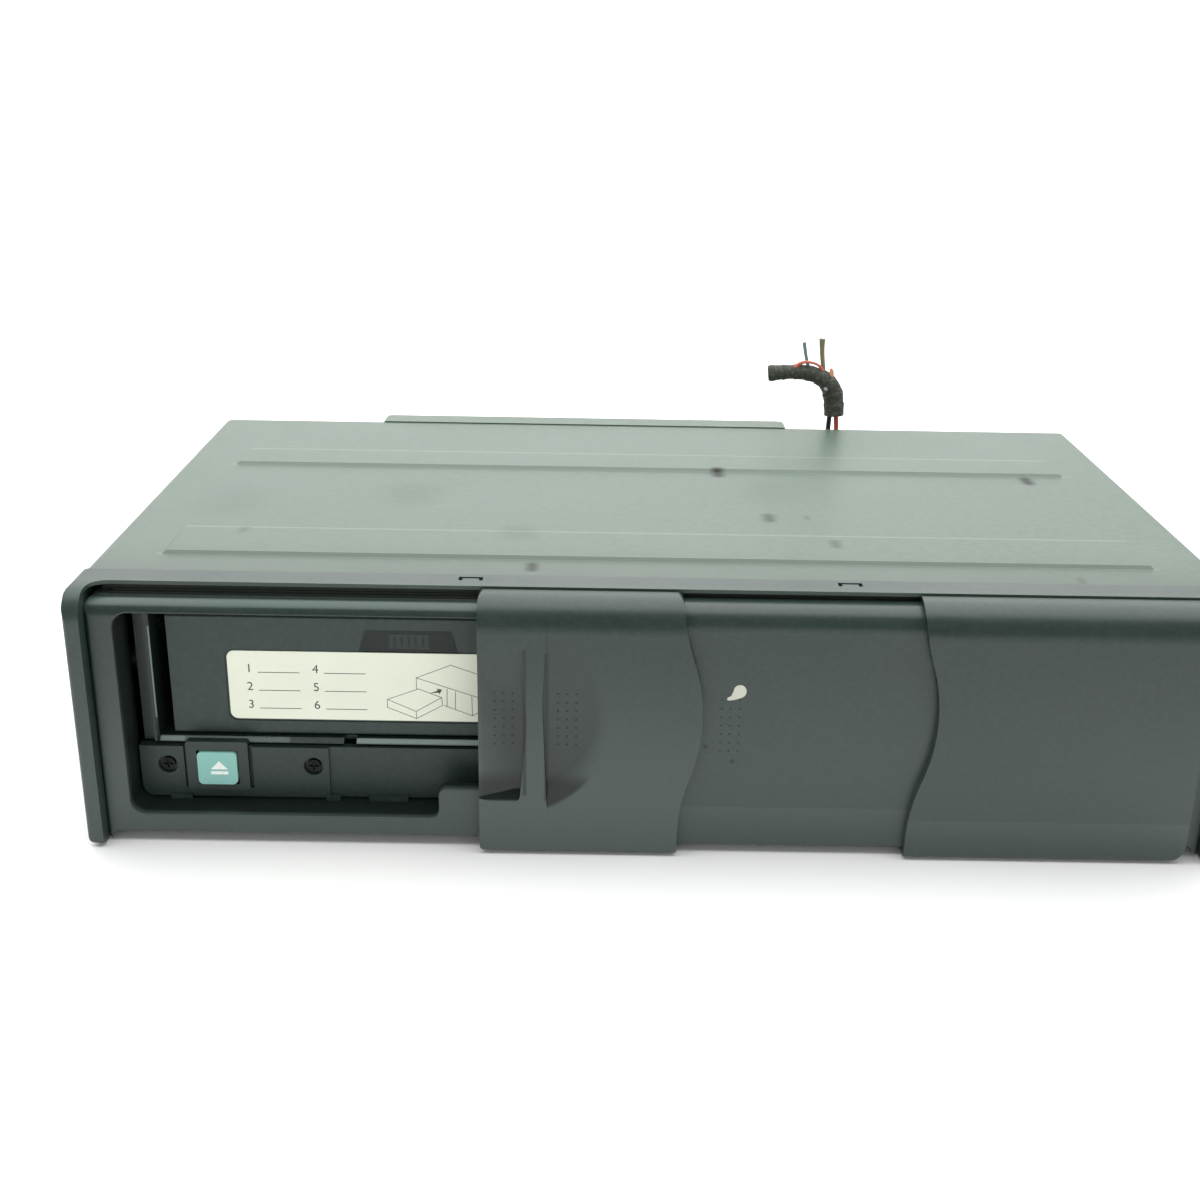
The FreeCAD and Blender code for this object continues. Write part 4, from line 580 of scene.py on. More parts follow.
# painted highlights along the edges of the magazine's slot: box, softness and strength
SLOT_PAINTED_HIGHLIGHTS = (
    (((-131.9, 15.5, 24.5), (-126.0, 16.2, 25.2)), 0.5, 0.75),
    (((-126.0, 15.5, 24.5), (-98.0, 16.2, 25.2)), 0.5, 0.3),
    (((-79.6, 15.5, 24.5), (0.0, 16.2, 25.2)), 0.5, 0.75),
    (((-132.7, 15.4, 31.0), (-132.5, 15.7, 57.0)), 0.15, 0.8),
)

# the eject sign, a triangle over a bar
SIGN_MIDDLE = -116.15
SIGN_HALF = 2.3
SIGN_TRIANGLE = (17.5, 19.9)
SIGN_BAR = (16.0, 16.9)
SIGN_THICKNESS = 0.05

# print on the magazine's label: places as (x, z), the share of its font's size that a numeral is
# high, and each rule's span from its number
PRINT_LIFT = 0.02
PRINT_THICKNESS = 0.04
FIRST_NUMBER = (-108.5, 43.6)
COLUMN_STEP = 17.5
ROW_STEP = 5.2
NUMBER_HEIGHT = 2.4
NUMERAL_SHARE = 0.7
RULE_SPAN = (3.2, 14.0)
RULE_WIDTH = 0.2
DRAWING_WIDTH = 0.16
DRAWING_LINES = (
    [(-71.4, 36.3), (-63.1, 39.5), (-57.0, 37.1), (-63.9, 32.9), (-71.4, 36.3), (-71.5, 34.0),
     (-63.8, 30.8), (-63.9, 32.9)],
    [(-63.8, 30.8), (-56.8, 34.8), (-57.0, 37.1)],
    [(-63.6, 39.3), (-63.6, 42.7), (-54.4, 46.5), (-46.2, 43.6)],
    [(-63.6, 42.7), (-46.2, 36.9)],
    [(-56.4, 34.8), (-48.9, 31.9), (-46.2, 33.4)],
    [(-55.5, 39.6), (-55.6, 34.6)],
    [(-53.3, 38.9), (-53.4, 33.7)],
    [(-49.0, 37.6), (-48.9, 32.1)],
)
DRAWING_ARROW = [(-60.2, 38.3), (-58.0, 39.1), (-58.3, 39.6), (-56.8, 39.4), (-57.6, 38.0),
                 (-57.8, 38.5)]

# the push mark in the pocket above the label: outlines, and how far behind the front each starts
INLAY_OUTLINE = [(-78.1, 50.2), (-52.5, 50.2), (-54.1, 55.8), (-76.5, 55.8)]
INLAY_START = 18.24
FIELD_OUTLINE = [(-70.5, 50.7), (-60.1, 50.7), (-60.1, 54.9), (-70.5, 54.9)]
FIELD_START = 18.16
INLAY_THICKNESS = 0.1
BAR_PLACES = (-69.0, -67.15, -65.3, -63.45, -61.6)
BAR_SPAN = (51.6, 54.0)
BAR_WIDTH = 0.5
BAR_START = 18.08
BAR_THICKNESS = 0.06

# the front and back edges of the cover's two pressed panels
PRESSED_PANELS = ((30.5, 53.2), (116.3, 134.2))
EDGE_SHADE = (0.15, 0.18, 0.155)
EDGE_SHINE = (0.3, 0.33, 0.3)

# stains on the cover: x, y, radius, softness and strength
STAINS = (
    (21.5, 114.9, 1.9, 1.6, 1.0),
    (119.0, 111.6, 1.8, 1.5, 1.0),
    (-33.3, 24.9, 1.5, 1.2, 1.0),
    (33.2, 69.8, 1.7, 1.6, 0.7),
    (44.4, 70.4, 0.7, 1.0, 0.35),
    (49.0, 45.0, 1.4, 1.4, 0.5),
    (109.5, 21.1, 1.0, 1.0, 0.4),
    (-114.2, 49.5, 1.0, 1.5, 0.3),
    (-38.2, 51.7, 2.0, 7.0, 0.17),
    (-71.7, 87.6, 3.0, 10.0, 0.13),
    (-124.4, 78.0, 4.0, 12.0, 0.1),
    (34.8, 96.7, 3.0, 14.0, 0.13),
)


def cover_node(finish, *names):
    """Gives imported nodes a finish."""
    for name in names:
        node = nodes[name]
        if not node.material_slots:
            node.data.materials.append(finish.material)
        for slot in node.material_slots:
            slot.material = finish.material


# ---------------- an operator for each group
class CHANGER_OT_front(bpy.types.Operator):
    """Finishes the surround, the frame and the sliding panels"""
    bl_idname = "changer.front"
    bl_label = "Front"

    def execute(self, context):
        colour = context.scene.changer.colours.front
        dark = shade(colour, 0.45)
        surround = moulded("surround_plastic", shade(colour, 1.15), painted_low_light=0.25)
        # painted sheen: the surround's top face lighter and greener than its front
        surround.tint(surround.inside(*SURROUND_TOP, 0.8), (0.028, 0.05, 0.035), 0.75)
        surround.dust(0.004, 0.00012, 0.1, (0.3, 0.34, 0.31), 0.5)
        cover_node(surround, "front_surround")
        panel = moulded("panel_plastic", colour, painted_low_light=0.34)
        cover_node(panel, "fixed_panel")
        door = moulded("door_plastic", colour, painted_low_light=0.65)
        # painted shade in the hollows of the finger grips
        grips = door.both(door.inside(*GRIP_BOX), door.behind(0.1, 1.7))
        door.tint(grips, dark, 0.75)
        # painted shade low in the grips and along their inner walls
        for box in GRIP_BOTTOMS:
            hollow = door.both(door.inside(*box, 5.0), door.behind(0.02, 0.3))
            door.tint(hollow, GRIP_PAINTED_SHADE, 0.85)
        for box in GRIP_WALLS:
            door.tint(door.inside(*box, 0.6), GRIP_PAINTED_SHADE, 0.65)
        cover_node(door, "door_panel")
        shutter = moulded("shutter_plastic", colour, roughness=0.27, painted_low_light=0.4)
        for x, z in SHUTTER_NICKS:
            shutter.tint(shutter.spot(place(x, SHUTTER_FACE, z), 0.0004, 0.0005), dark, 0.7)
        # painted light: a faint lighter band below each crease
        for finish, crease in ((panel, PANEL_CREASE), (shutter, SHUTTER_CREASE)):
            below = finish.both(finish.above(crease + 0.15, crease - 0.1),
                                finish.above(3.0, crease))
            finish.tint(below, CREASE_PAINTED_LIGHT, 0.09)
        cover_node(shutter, "inner_shutter")
        rim = moulded("frame_plastic", shade(colour, 0.9), dusty=0.12, painted_low_light=0.5)
        # painted shade deep inside the frame's mouth
        mouth = rim.both(rim.inside(*MOUTH_BOX), rim.behind(5.2, 7.0))
        rim.tint(mouth, (0.003, 0.006, 0.005), 0.85)
        # painted highlight along the frame's lip
        rim.tint(rim.inside(*FRAME_LIP), shade(colour, 2.4), 0.7)
        # a lighter tone along the frame's top, under the surround's lip
        rim.tint(rim.inside(*FRAME_TOP, 1.0), (0.07, 0.08, 0.07), 0.8)
        cover_node(rim, "front_frame")
        self.chip()
        return {"FINISHED"}

    def chip(self):
        """A drop of dried cream paint on the shutter."""
        paint = Finish("dried_paint", (0.52, 0.52, 0.44), 0.6)
        paint.relief(paint.noise(900.0), 0.00004)
        (x, z), (half_width, half_height) = DROP_MIDDLE, DROP_HALF
        round_part = [(x + half_width * math.cos(t), z + half_height * math.sin(t))
                      for t in (math.radians(degrees) for degrees in range(-60, 195, 15))]
        drop = round_part + DROP_TAIL
        flat_outline("dried_drop", [drop], DROP_START, DROP_THICKNESS, paint, "shutter")


class CHANGER_OT_grip_dots(bpy.types.Operator):
    """Sets rows of small dots on the finger grips and the shutter"""
    bl_idname = "changer.grip_dots"
    bl_label = "Grip dots"

    def execute(self, context):
        grip = context.scene.changer.grip
        finish = Finish("grip_dot_plastic", (0.006, 0.009, 0.008), 0.5)
        finish.relief(finish.noise(2600.0), 0.00002)
        shape = NodeShape("dots_on_a_surface")
        columns = shape.input("Columns", "NodeSocketInt", grip.columns)
        rows = shape.input("Rows", "NodeSocketInt", grip.rows)
        width = shape.input("Width", "NodeSocketFloat", grip.column_step * (grip.columns - 1))
        height = shape.input("Height", "NodeSocketFloat", grip.row_step * (grip.rows - 1))
        radius = shape.input("Dot radius", "NodeSocketFloat", grip.dot_radius)
        grid = shape.add("GeometryNodeMeshGrid", {
            "Size X": width, "Size Y": height, "Vertices X": columns, "Vertices Y": rows})
        stood = shape.add("GeometryNodeTransform", {
            "Geometry": grid.outputs["Mesh"], "Rotation": (math.pi / 2, 0.0, 0.0)})
        target = shape.input("Panel", "NodeSocketObject", nodes["door_panel"])
        panel = shape.add("GeometryNodeObjectInfo", {"Object": target})
        where = shape.input("Middle", "NodeSocketVector", (0.0, 0.0, 0.0))
        moved = shape.add("GeometryNodeTransform", {
            "Geometry": stood.outputs[0], "Translation": where})
        hit = shape.add("GeometryNodeRaycast", {
            "Target Geometry": panel.outputs["Geometry"],
            "Ray Direction": (0.0, 1.0, 0.0), "Ray Length": 0.05})
        settled = shape.add("GeometryNodeSetPosition", {
            "Geometry": moved.outputs[0], "Position": hit.outputs["Hit Position"],
            "Selection": hit.outputs["Is Hit"]})
        ball = shape.add("GeometryNodeMeshIcoSphere", {"Radius": radius, "Subdivisions": 2})
        flattened = shape.add("GeometryNodeTransform", {
            "Geometry": ball.outputs["Mesh"], "Scale": (1.0, DOT_FLATNESS, 1.0)})
        placed = shape.add("GeometryNodeInstanceOnPoints", {
            "Points": settled.outputs[0], "Instance": flattened.outputs[0]})
        shape.finish_with(placed.outputs[0], finish)
        meshes = [self.field(shape, "grip_dots", *middle) for middle in GRIP_FIELDS]
        show(merged(meshes, "grip_dots"), "grip_dots", finish, "door")
        shape.set("Panel", nodes["inner_shutter"])
        mesh = self.field(shape, "shutter_dots", *SHUTTER_FIELD)
        faint = Finish("shutter_dot_plastic", (0.013, 0.021, 0.018), 0.45)
        show(mesh, "shutter_dots", faint, "shutter")
        return {"FINISHED"}

    def field(self, shape, name, x, z):
        """One field of dots about a place, as a mesh."""
        shape.set("Middle", tuple(place(x, DOT_START, z)))
        return shape.build(name, bpy.data.meshes.new(name))


class CHANGER_OT_recess(bpy.types.Operator):
    """Finishes the trim, the eject button and what lies round the magazine"""
    bl_idname = "changer.recess"
    bl_label = "Recess and button"

    def execute(self, context):
        colours = context.scene.changer.colours
        trim = moulded("recess_plastic", colours.recess, roughness=0.4, dusty=0.16)
        cover_node(trim, "trim_panel")
        slot = moulded("slot_plastic", shade(colours.recess, 0.7), roughness=0.25)
        # painted highlights along the slot's edges
        for box, softness, strength in SLOT_PAINTED_HIGHLIGHTS:
            slot.tint(slot.inside(*box, softness), (0.26, 0.33, 0.31), strength)
        cover_node(slot, "magazine_cradle")
        black = Finish("blackened_steel", (0.012, 0.012, 0.012), 0.35, metallic=0.6)
        black.roughen(black.noise(900.0), 0.25)
        cover_node(black, "trim_screws", "case_screws")
        button = plain_resin("button_resin", colours.button, 0.38)
        cover_node(button, "eject_button")
        paint = Finish("white_print", (0.85, 0.87, 0.84), 0.5)
        paint.tint(paint.between(paint.noise(1800.0, 3.0), 0.5, 0.7), (0.6, 0.63, 0.6), 0.4)
        face = (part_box("eject_button")[0][1] - FRONT) / MM
        left, right = SIGN_MIDDLE - SIGN_HALF, SIGN_MIDDLE + SIGN_HALF
        base, tip = SIGN_TRIANGLE
        low, high = SIGN_BAR
        flat_outline("eject_symbol", [
            [(left, base), (right, base), (SIGN_MIDDLE, tip)],
            [(left, low), (right, low), (right, high), (left, high)],
        ], face + PRINT_LIFT, SIGN_THICKNESS, paint, "button")
        return {"FINISHED"}


class CHANGER_OT_magazine(bpy.types.Operator):
    """Finishes the magazine and prints its ruled label"""
    bl_idname = "changer.magazine"
    bl_label = "Magazine"

    def execute(self, context):
        colours = context.scene.changer.colours
        case = moulded("magazine_plastic", shade(colours.front, 1.25), roughness=0.4)
        cover_node(case, "magazine_case", "magazine_lid")
        trays = moulded("tray_plastic", colours.recess)
        cover_node(trays, *["disc_tray_%d" % number for number in range(1, 7)])
        paper = Finish("label_paper", colours.label, 0.5, coat=0.25)
        cloud = paper.between(paper.noise(35.0, 5.0), 0.4, 0.75)
        paper.tint(cloud, shade(colours.label, 0.9), 0.6)
        paper.dust(0.006, 0.00014, 0.2, (0.25, 0.25, 0.2))
        cover_node(paper, "magazine_label")
        ink = Finish("label_ink", (0.06, 0.065, 0.06), 0.6)
        ink.tint(ink.between(ink.noise(2500.0), 0.5, 0.8), (0.2, 0.2, 0.19), 0.5)
        face = (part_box("magazine_label")[0][1] - FRONT) / MM + PRINT_LIFT
        rules = []
        words = []
        for number in range(6):
            column, row = divmod(number, 3)
            x = FIRST_NUMBER[0] + COLUMN_STEP * column
            z = FIRST_NUMBER[1] - ROW_STEP * row
            rules.append(stroke((x + RULE_SPAN[0], z), (x + RULE_SPAN[1], z), RULE_WIDTH))
            words.append((str(number + 1), x, face, z))
        flat_outline("label_rules", rules, face, PRINT_THICKNESS, ink, "magazine")
        lettering("label_numbers", words, NUMBER_HEIGHT, PRINT_THICKNESS, ink, "magazine")
        self.drawing(face, ink)
        self.push_mark(colours)
        return {"FINISHED"}

    def drawing(self, face, ink):
        """A plain line drawing of a flat box that slides into a larger one."""
        strokes = [stroke(start, end, DRAWING_WIDTH)
                   for line in DRAWING_LINES for start, end in zip(line, line[1:])]
        outlines = strokes + [DRAWING_ARROW]
        flat_outline("label_drawing", outlines, face, PRINT_THICKNESS, ink, "magazine")

    def push_mark(self, colours):
        """A dark inlay with a lighter field of plain bars in the pocket above the label."""
        dark = moulded("push_inlay_plastic", shade(colours.front, 0.5), roughness=0.5, dusty=0.0)
        flat_outline("push_inlay", [INLAY_OUTLINE], INLAY_START, INLAY_THICKNESS, dark, "magazine")
        pale = moulded("push_field_plastic", colours.front, roughness=0.45, dusty=0.0)
        flat_outline("push_field", [FIELD_OUTLINE], FIELD_START, INLAY_THICKNESS, pale, "magazine")
        low, high = BAR_SPAN
        bars = [stroke((x, low), (x, high), BAR_WIDTH) for x in BAR_PLACES]
        flat_outline("push_bars", bars, BAR_START, BAR_THICKNESS, dark, "magazine")


class CHANGER_OT_case(bpy.types.Operator):
    """Finishes the cover, the bottom and the rear"""
    bl_idname = "changer.case"
    bl_label = "Case"

    def execute(self, context):
        colour = context.scene.changer.colours.cover
        paint = Finish("cover_paint", colour, 0.4, specular=0.42, coat=0.15, coat_roughness=0.45)
        cloud = paint.between(paint.noise(9.0, 6.0, 0.6, distortion=0.6), 0.35, 0.72)
        paint.tint(cloud, shade(colour, 1.12), 0.6)
        paint.roughen(cloud, 0.06)
        mottle = paint.between(paint.noise(420.0, 2.0), 0.42, 0.62)
        paint.tint(mottle, shade(colour, 0.9), 0.7)
        for front, back in PRESSED_PANELS:
            edge = paint.inside((-133.0, front - 0.1, 71.8), (133.0, front + 0.9, 72.4))
            paint.tint(edge, EDGE_SHADE, 0.8)
            edge = paint.inside((-132.0, back - 1.8, 72.2), (132.0, back - 1.1, 72.6))
            paint.tint(edge, EDGE_SHINE, 0.28)
        for x, y, radius, softness, strength in STAINS:
            reach = 1.3 * radius
            stain = paint.inside((x, y - reach, 71.0), (x, y + reach, 73.0), radius + softness)
            paint.tint(stain, shade(colour, 0.1), strength)
            paint.roughen(stain, 0.2 * strength)
        # painted shade: the cover darker towards its front, where it catches less sheen
        paint.tint(paint.behind(45.0, 4.0), shade(colour, 0.5), 0.75)
        paint.hairlines(0.5)
        paint.hairlines(-0.9, threshold=0.68)
        paint.dust(0.009, 0.0002, 0.1, (0.03, 0.04, 0.034), 0.6)
        paint.dust(0.011, 0.00016, 0.08, (0.4, 0.44, 0.4), 0.6)
        paint.relief(paint.noise(1400.0, 3.0), 0.000012)
        cover_node(paint, "top_cover", "rear_housing")
        zinc = sheet_steel("zinc_sheet", (0.42, 0.42, 0.39))
        cover_node(zinc, "bottom_case", "rear_panel", "mount_nuts")
        cover_node(moulded("socket_plastic", (0.03, 0.036, 0.034)), "rear_socket")
        return {"FINISHED"}


class CHANGER_OT_works(bpy.types.Operator):
    """Finishes the player deck, its drives and the boards"""
    bl_idname = "changer.works"
    bl_label = "Works"

    def execute(self, context):
        steel = sheet_steel("works_sheet", (0.48, 0.48, 0.45))
        cover_node(steel, "mechanism_chassis", "deck_plate", "clamp_arm", "cradle_roof")
        can = sheet_steel("motor_can", (0.5, 0.49, 0.46), 0.3)
        cover_node(can, "spindle_motor", "lift_motor", "sled_motor")
        rod = Finish("ground_steel", (0.62, 0.62, 0.62), 0.18, metallic=1.0)
        rod.roughen(rod.noise(400.0), 0.1)
        cover_node(rod, "sled_rods", "sled_screw", "ejector_spring")
        resin = plain_resin("natural_resin", (0.6, 0.59, 0.52))
        cover_node(resin, "lift_screw_1", "lift_screw_2", "lift_screw_3", "lift_nuts",
                   "motor_pulley", "ejector_plunger", "wire_plug")
        dark = moulded("works_plastic", (0.02, 0.022, 0.022))
        cover_node(dark, "turntable", "pickup_sled", "clamp_puck", "eject_switch", "board_parts")
        lens = Finish("coated_lens", (0.25, 0.3, 0.5), 0.05, coat=1.0, coat_roughness=0.03)
        lens.roughen(lens.noise(600.0), 0.02)
        cover_node(lens, "pickup_lens")
        black = rubber("black_rubber", (0.02, 0.02, 0.02))
        cover_node(black, "chassis_dampers", "lift_belt", "feed_roller")
        board = circuit_board("green_board", (0.03, 0.11, 0.05))
        cover_node(board, "main_board", "front_board")
        self.pressed_spring(rod)
        return {"FINISHED"}

    def pressed_spring(self, finish):
        """The button's return spring, as a copy with a mesh of its own in place of the imported
        one.
        """
        node = nodes["button_spring"]
        spring = show(node.data.copy(), "pressed_spring", finish, node["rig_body"])
        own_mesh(spring)
        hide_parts("button_spring")


# the floor's profile from front to back as (y, z), and half its width, in metres
FLOOR_PROFILE = ((-2.5, 0.0), (1.2, 0.0), (1.6, 0.06), (1.85, 0.25), (1.95, 0.6), (2.0, 2.2))
FLOOR_HALF = 3.0
# lights: name, place, aim and size in metres, power in watts, and whether surfaces mirror it
LIGHTS = (
    ("back_softbox", (0.0, 1.08, 1.5), (0.0, 1.08, 0.0), (3.0, 1.5), 50.0, True),
    ("front_softbox", (0.0, -0.2, 1.5), (0.0, -0.2, 0.0), (3.0, 1.06), 33.0, True),
    ("backdrop_wash", (0.0, 0.6, 1.2), (0.0, 1.9, 0.5), (2.4, 0.5), 9.0, False),
    ("front_fill", (0.0, -1.5, 0.5), (0.0, -0.05, 0.0), (2.6, 0.9), 8.0, False),
)
LIGHT_COLOUR = (0.955, 1.0, 0.97)
AIR_COLOUR = (0.95, 1.0, 0.98, 1.0)
AIR_STRENGTH = 0.4


class CHANGER_OT_stage(bpy.types.Operator):
    """Sets the floor, the soft lights and the camera"""
    bl_idname = "changer.stage"
    bl_label = "Stage"

    def execute(self, context):
        scene = context.scene
        scene.view_settings.view_transform = "Standard"
        self.air(scene)
        self.floor()
        for light in LIGHTS:
            self.light(*light)
        scene.camera = self.camera(scene.changer.stage)
        return {"FINISHED"}

    def air(self, scene):
        """Even light from all round, which no surface mirrors."""
        world = bpy.data.worlds.new("studio_air")
        world.use_nodes = True
        background = world.node_tree.nodes["Background"]
        background.inputs["Color"].default_value = AIR_COLOUR
        background.inputs["Strength"].default_value = AIR_STRENGTH
        world.cycles_visibility.glossy = False
        scene.world = world

    def floor(self):
        """A sweep of pale paper that bends up behind."""
        paper = Finish("floor_paper", (0.82, 0.79, 0.806), 0.8)
        paper.tint(paper.between(paper.noise(1.5), 0.4, 0.7), (0.8, 0.771, 0.787), 0.3)
        vertices = [(side * FLOOR_HALF, y, z) for side in (-1, 1) for y, z in FLOOR_PROFILE]
        count = len(FLOOR_PROFILE)
        faces = [(count + i, count + i + 1, i + 1, i) for i in range(count - 1)]
        mesh = bpy.data.meshes.new("floor_sweep")
        mesh.from_pydata(vertices, [], faces)
        mesh.materials.append(paper.material)
        mesh.shade_smooth()
        floor = linked("floor_sweep", mesh)

    def light(self, name, where, aim, size, power, mirrored):
        """One rectangular soft light, pointed at its aim."""
        data = bpy.data.lights.new(name, "AREA")
        data.shape = "RECTANGLE"
        data.size, data.size_y = size
        data.energy = power
        data.color = LIGHT_COLOUR
        lamp = linked(name, data)
        lamp.location = where
        lamp.visible_glossy = mirrored
        direction = Vector(aim) - Vector(where)
        lamp.rotation_euler = direction.to_track_quat("-Z", "Y").to_euler()

    def camera(self, stage):
        """A camera that looks down, to the side and leans by the stage's angles."""
        pitch, yaw, roll = stage.camera_pitch, stage.camera_yaw, stage.camera_roll
        flat = math.cos(pitch)
        forward = Vector((math.sin(yaw) * flat, math.cos(yaw) * flat, -math.sin(pitch)))
        level = Vector((math.cos(yaw), -math.sin(yaw), 0.0))
        down = forward.cross(level)
        right = level * math.cos(roll) + down * math.sin(roll)
        lower = down * math.cos(roll) - level * math.sin(roll)
        data = bpy.data.cameras.new("camera")
        data.lens = stage.lens
        data.sensor_width = 36.0
        data.clip_start = 0.01
        camera = linked("camera", data)
        turned = Matrix((right, -lower, -forward)).transposed().to_4x4()
        camera.matrix_world = Matrix.Translation(stage.camera_place) @ turned
        return camera


# the wires' routes, as points that place() takes
BLACK_ROUTE = ((65.2, 176.5, 43.3), (64.9, 176.9, 52.0), (65.5, 176.2, 61.5),
               (65.0, 176.6, 70.0), (65.4, 176.4, 76.4))
RED_ROUTE = ((68.2, 176.5, 43.3), (68.6, 176.0, 52.5), (68.0, 176.9, 62.0),
             (68.3, 176.3, 70.0), (67.6, 176.6, 76.4))
BUNDLE_ROUTE = ((66.9, 176.5, 76.0), (66.6, 176.7, 81.5), (65.0, 176.4, 86.6), (61.0, 176.2, 90.0),
                (55.2, 176.6, 91.3), (48.9, 176.4, 91.2), (42.7, 176.8, 90.5))
# the cut ends: route, radius in mm, how thick each point is, and colour
WIRE_ENDS = (
    (((62.4, 176.0, 89.4), (60.8, 176.0, 99.1), (60.9, 176.1, 103.2)),
     0.85, (1.0, 0.85, 1.35), (0.23, 0.19, 0.12)),
    (((57.0, 176.0, 92.0), (55.4, 176.0, 96.9), (54.7, 176.2, 101.8)),
     0.6, (1.0, 1.0, 1.1), (0.16, 0.23, 0.25)),
    (((64.2, 175.6, 89.0), (65.4, 175.4, 91.4), (64.4, 175.6, 92.8)),
     0.8, (1.2, 1.3, 0.6), (0.66, 0.3, 0.16)),
    (((51.9, 175.6, 92.6), (53.2, 175.2, 94.9), (57.4, 175.0, 95.2), (61.0, 175.1, 93.7),
      (62.3, 175.3, 91.0)),
     0.6, (1.5, 1.0, 0.8, 0.8, 1.0), (0.6, 0.14, 0.1)),
)
TAPE_FLECK = (62.9, 173.6, 86.0)
# the taped bundle, in shares of its radius: the step at each lap, the unevenness with its patches
# to a metre, and the fuller start
LAP_STEP = 0.09
LAP_LEVEL = 0.6
UNEVENNESS = 0.5
UNEVEN_SCALE = 130.0
FULLER_START = {"From Min": 0.15, "From Max": 0.6, "To Min": 1.24, "To Max": 0.95}
TUBE_RINGS = 220
TUBE_SIDES = 28


def routed_curve(name, route, radius, swell=()):
    """A smooth open curve with a route's points as control points, thicker by swell at each."""
    curve = bpy.data.curves.new(name, "CURVE")
    curve.dimensions = "3D"
    spline = curve.splines.new("NURBS")
    spline.points.add(len(route) - 1)
    for point, (x, y, z) in zip(spline.points, route):
        point.co = (*place(x, y, z), 1.0)
    for point, factor in zip(spline.points, swell):
        point.radius = factor
    spline.order_u = 3
    spline.use_endpoint_u = True
    spline.resolution_u = 12
    curve.bevel_depth = radius
    curve.bevel_resolution = 5
    curve.use_fill_caps = True
    return curve


def insulation(name, colour):
    """Soft wire insulation, slightly dusty."""
    finish = Finish(name, colour, 0.42)
    worn = finish.between(finish.noise(500.0, 4.0), 0.45, 0.75)
    finish.tint(worn, shade(colour, 0.6, 0.02), 0.7)
    finish.roughen(finish.noise(700.0), 0.2)
    return finish


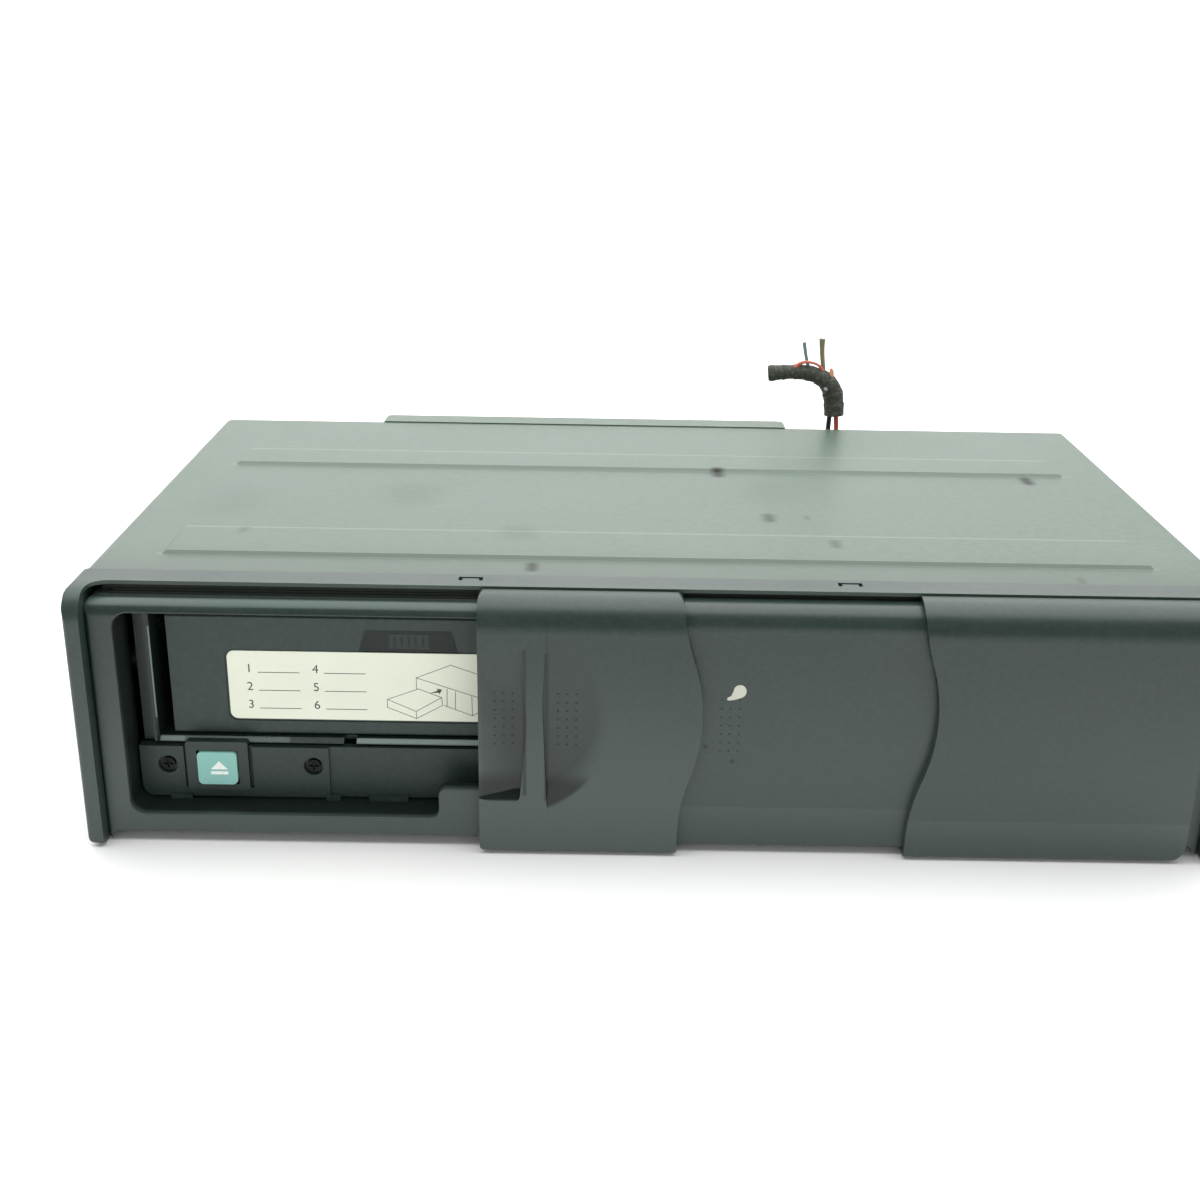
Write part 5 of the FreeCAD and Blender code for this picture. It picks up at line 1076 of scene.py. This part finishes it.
class CHANGER_OT_loom(bpy.types.Operator):
    """Draws the two wires, the taped bundle and the cut ends"""
    bl_idname = "changer.loom"
    bl_label = "Cut loom"

    def execute(self, context):
        loom = context.scene.changer.loom
        wires = (
            ("black_wire", BLACK_ROUTE, (0.015, 0.015, 0.016)),
            ("red_wire", RED_ROUTE, (0.5, 0.08, 0.045)),
        )
        for name, route, colour in wires:
            curve = routed_curve(name + "_soft", route, loom.wire / 2)
            wire = linked(name + "_soft", curve)
            curve.materials.append(insulation(name + "_insulation", colour).material)
            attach(wire, "housing")
            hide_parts(name)
            route_length(route)
        ends = self.cut_ends()
        tape = Finish("cloth_tape", (0.048, 0.05, 0.041), 0.85)
        tape.tint(tape.between(tape.noise(900.0, 4.0), 0.48, 0.68), (0.13, 0.13, 0.105), 0.55)
        tape.dust(0.0011, 0.00018, 0.3, (0.3, 0.3, 0.25), 0.6)
        tape.tint(tape.spot(place(*TAPE_FLECK), 0.0005, 0.0004), (0.6, 0.66, 0.66), 0.9)
        tape.relief(tape.noise(2200.0, 3.0), 0.00012)
        bare = routed_curve("bundle_line", BUNDLE_ROUTE, 0.0)
        bare.use_fill_caps = False
        path = curve_points(bare)
        mesh = self.wrapped(bare, loom, tape)
        bundle = show(mesh, "taped_bundle_soft", tape, "housing")
        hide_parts("taped_bundle")
        route_length(BUNDLE_ROUTE)
        return {"FINISHED"}

    def cut_ends(self):
        """The short single wires that stick out of the tape."""
        pieces = []
        for number, (route, radius, swell, colour) in enumerate(WIRE_ENDS, 1):
            name = "wire_end_%d" % number
            curve = routed_curve(name, route, radius * MM, swell)
            end = linked(name, curve)
            curve.materials.append(insulation(name + "_insulation", colour).material)
            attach(end, "housing")
            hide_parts("wire_ends")
            pieces.append(end)
        return pieces

    def wrapped(self, curve, loom, finish):
        """A tube whose radius steps at each turn of the tape."""
        shape = NodeShape("taped_tube")
        radius = shape.input("Radius", "NodeSocketFloat", loom.bundle / 2)
        step = shape.input("Tape step", "NodeSocketFloat", loom.tape)
        fine = shape.add("GeometryNodeResampleCurve", {
            "Curve": shape.start.outputs[0], "Count": TUBE_RINGS})
        along = shape.add("GeometryNodeSplineParameter").outputs["Length"]
        turns = shape.calculate("DIVIDE", along, step)
        lap = shape.calculate("FRACT", turns)
        risen = shape.calculate("SUBTRACT", lap, LAP_LEVEL)
        thick = shape.calculate("MULTIPLY", risen, LAP_STEP)
        wobble = shape.add("ShaderNodeTexNoise", {"Scale": UNEVEN_SCALE}).outputs["Fac"]
        centred = shape.calculate("SUBTRACT", wobble, 0.5)
        uneven = shape.calculate("MULTIPLY", centred, UNEVENNESS)
        share = shape.add("GeometryNodeSplineParameter").outputs["Factor"]
        fuller = shape.add("ShaderNodeMapRange", {"Value": share, **FULLER_START}).outputs["Result"]
        scale = shape.calculate("ADD", fuller, shape.calculate("ADD", thick, uneven))
        sized = shape.calculate("MULTIPLY", radius, scale)
        profile = shape.add("GeometryNodeCurvePrimitiveCircle", {
            "Resolution": TUBE_SIDES, "Radius": 1.0})
        tube = shape.add("GeometryNodeCurveToMesh", {
            "Curve": fine.outputs[0], "Profile Curve": profile.outputs[0], "Fill Caps": True})
        shape.tree.links.new(sized, tube.inputs["Scale"])
        smooth = shape.add("GeometryNodeSetShadeSmooth", {"Geometry": tube.outputs[0]})
        shape.finish_with(smooth.outputs[0], finish)
        return shape.build("taped_bundle_soft", curve)


def curve_points(curve):
    """The points along a curve's smooth line."""
    return [vertex.co.copy() for vertex in settled_mesh(linked("line", curve)).vertices]


def route_length(route):
    """The length of the smooth line along a route, in metres."""
    points = curve_points(routed_curve("measured_line", route, 0.0))
    return sum((b - a).length for a, b in zip(points, points[1:]))


class CHANGER_PT_panel(bpy.types.Panel):
    """Sizes, colours and pieces of the disc changer"""
    bl_idname = "CHANGER_PT_panel"
    bl_label = "Disc Changer"
    bl_space_type = "VIEW_3D"
    bl_region_type = "UI"
    bl_category = "Changer"

    def draw(self, context):
        settings = context.scene.changer
        for group in (settings.colours, settings.grip, settings.loom, settings.stage):
            box = self.layout.box()
            for name in group.__annotations__:
                box.prop(group, name)
        for operator in OPERATORS:
            self.layout.operator(operator.bl_idname)


OPERATORS = (
    CHANGER_OT_front,
    CHANGER_OT_grip_dots,
    CHANGER_OT_recess,
    CHANGER_OT_magazine,
    CHANGER_OT_case,
    CHANGER_OT_works,
    CHANGER_OT_loom,
    CHANGER_OT_stage,
)
GROUPS = (ChangerColours, ChangerGrip, ChangerLoom, ChangerStage, ChangerSettings)


def register():
    for group in GROUPS + OPERATORS + (CHANGER_PT_panel,):
        bpy.utils.register_class(group)
    bpy.types.Scene.changer = bpy.props.PointerProperty(type=ChangerSettings)


def unregister():
    del bpy.types.Scene.changer
    for group in reversed(GROUPS + OPERATORS + (CHANGER_PT_panel,)):
        bpy.utils.unregister_class(group)


def main():
    register()
    bpy.ops.changer.front()
    bpy.ops.changer.grip_dots()
    bpy.ops.changer.recess()
    bpy.ops.changer.magazine()
    bpy.ops.changer.case()
    bpy.ops.changer.works()
    bpy.ops.changer.loom()
    bpy.ops.changer.stage()


if __name__ == "__main__":
    main()
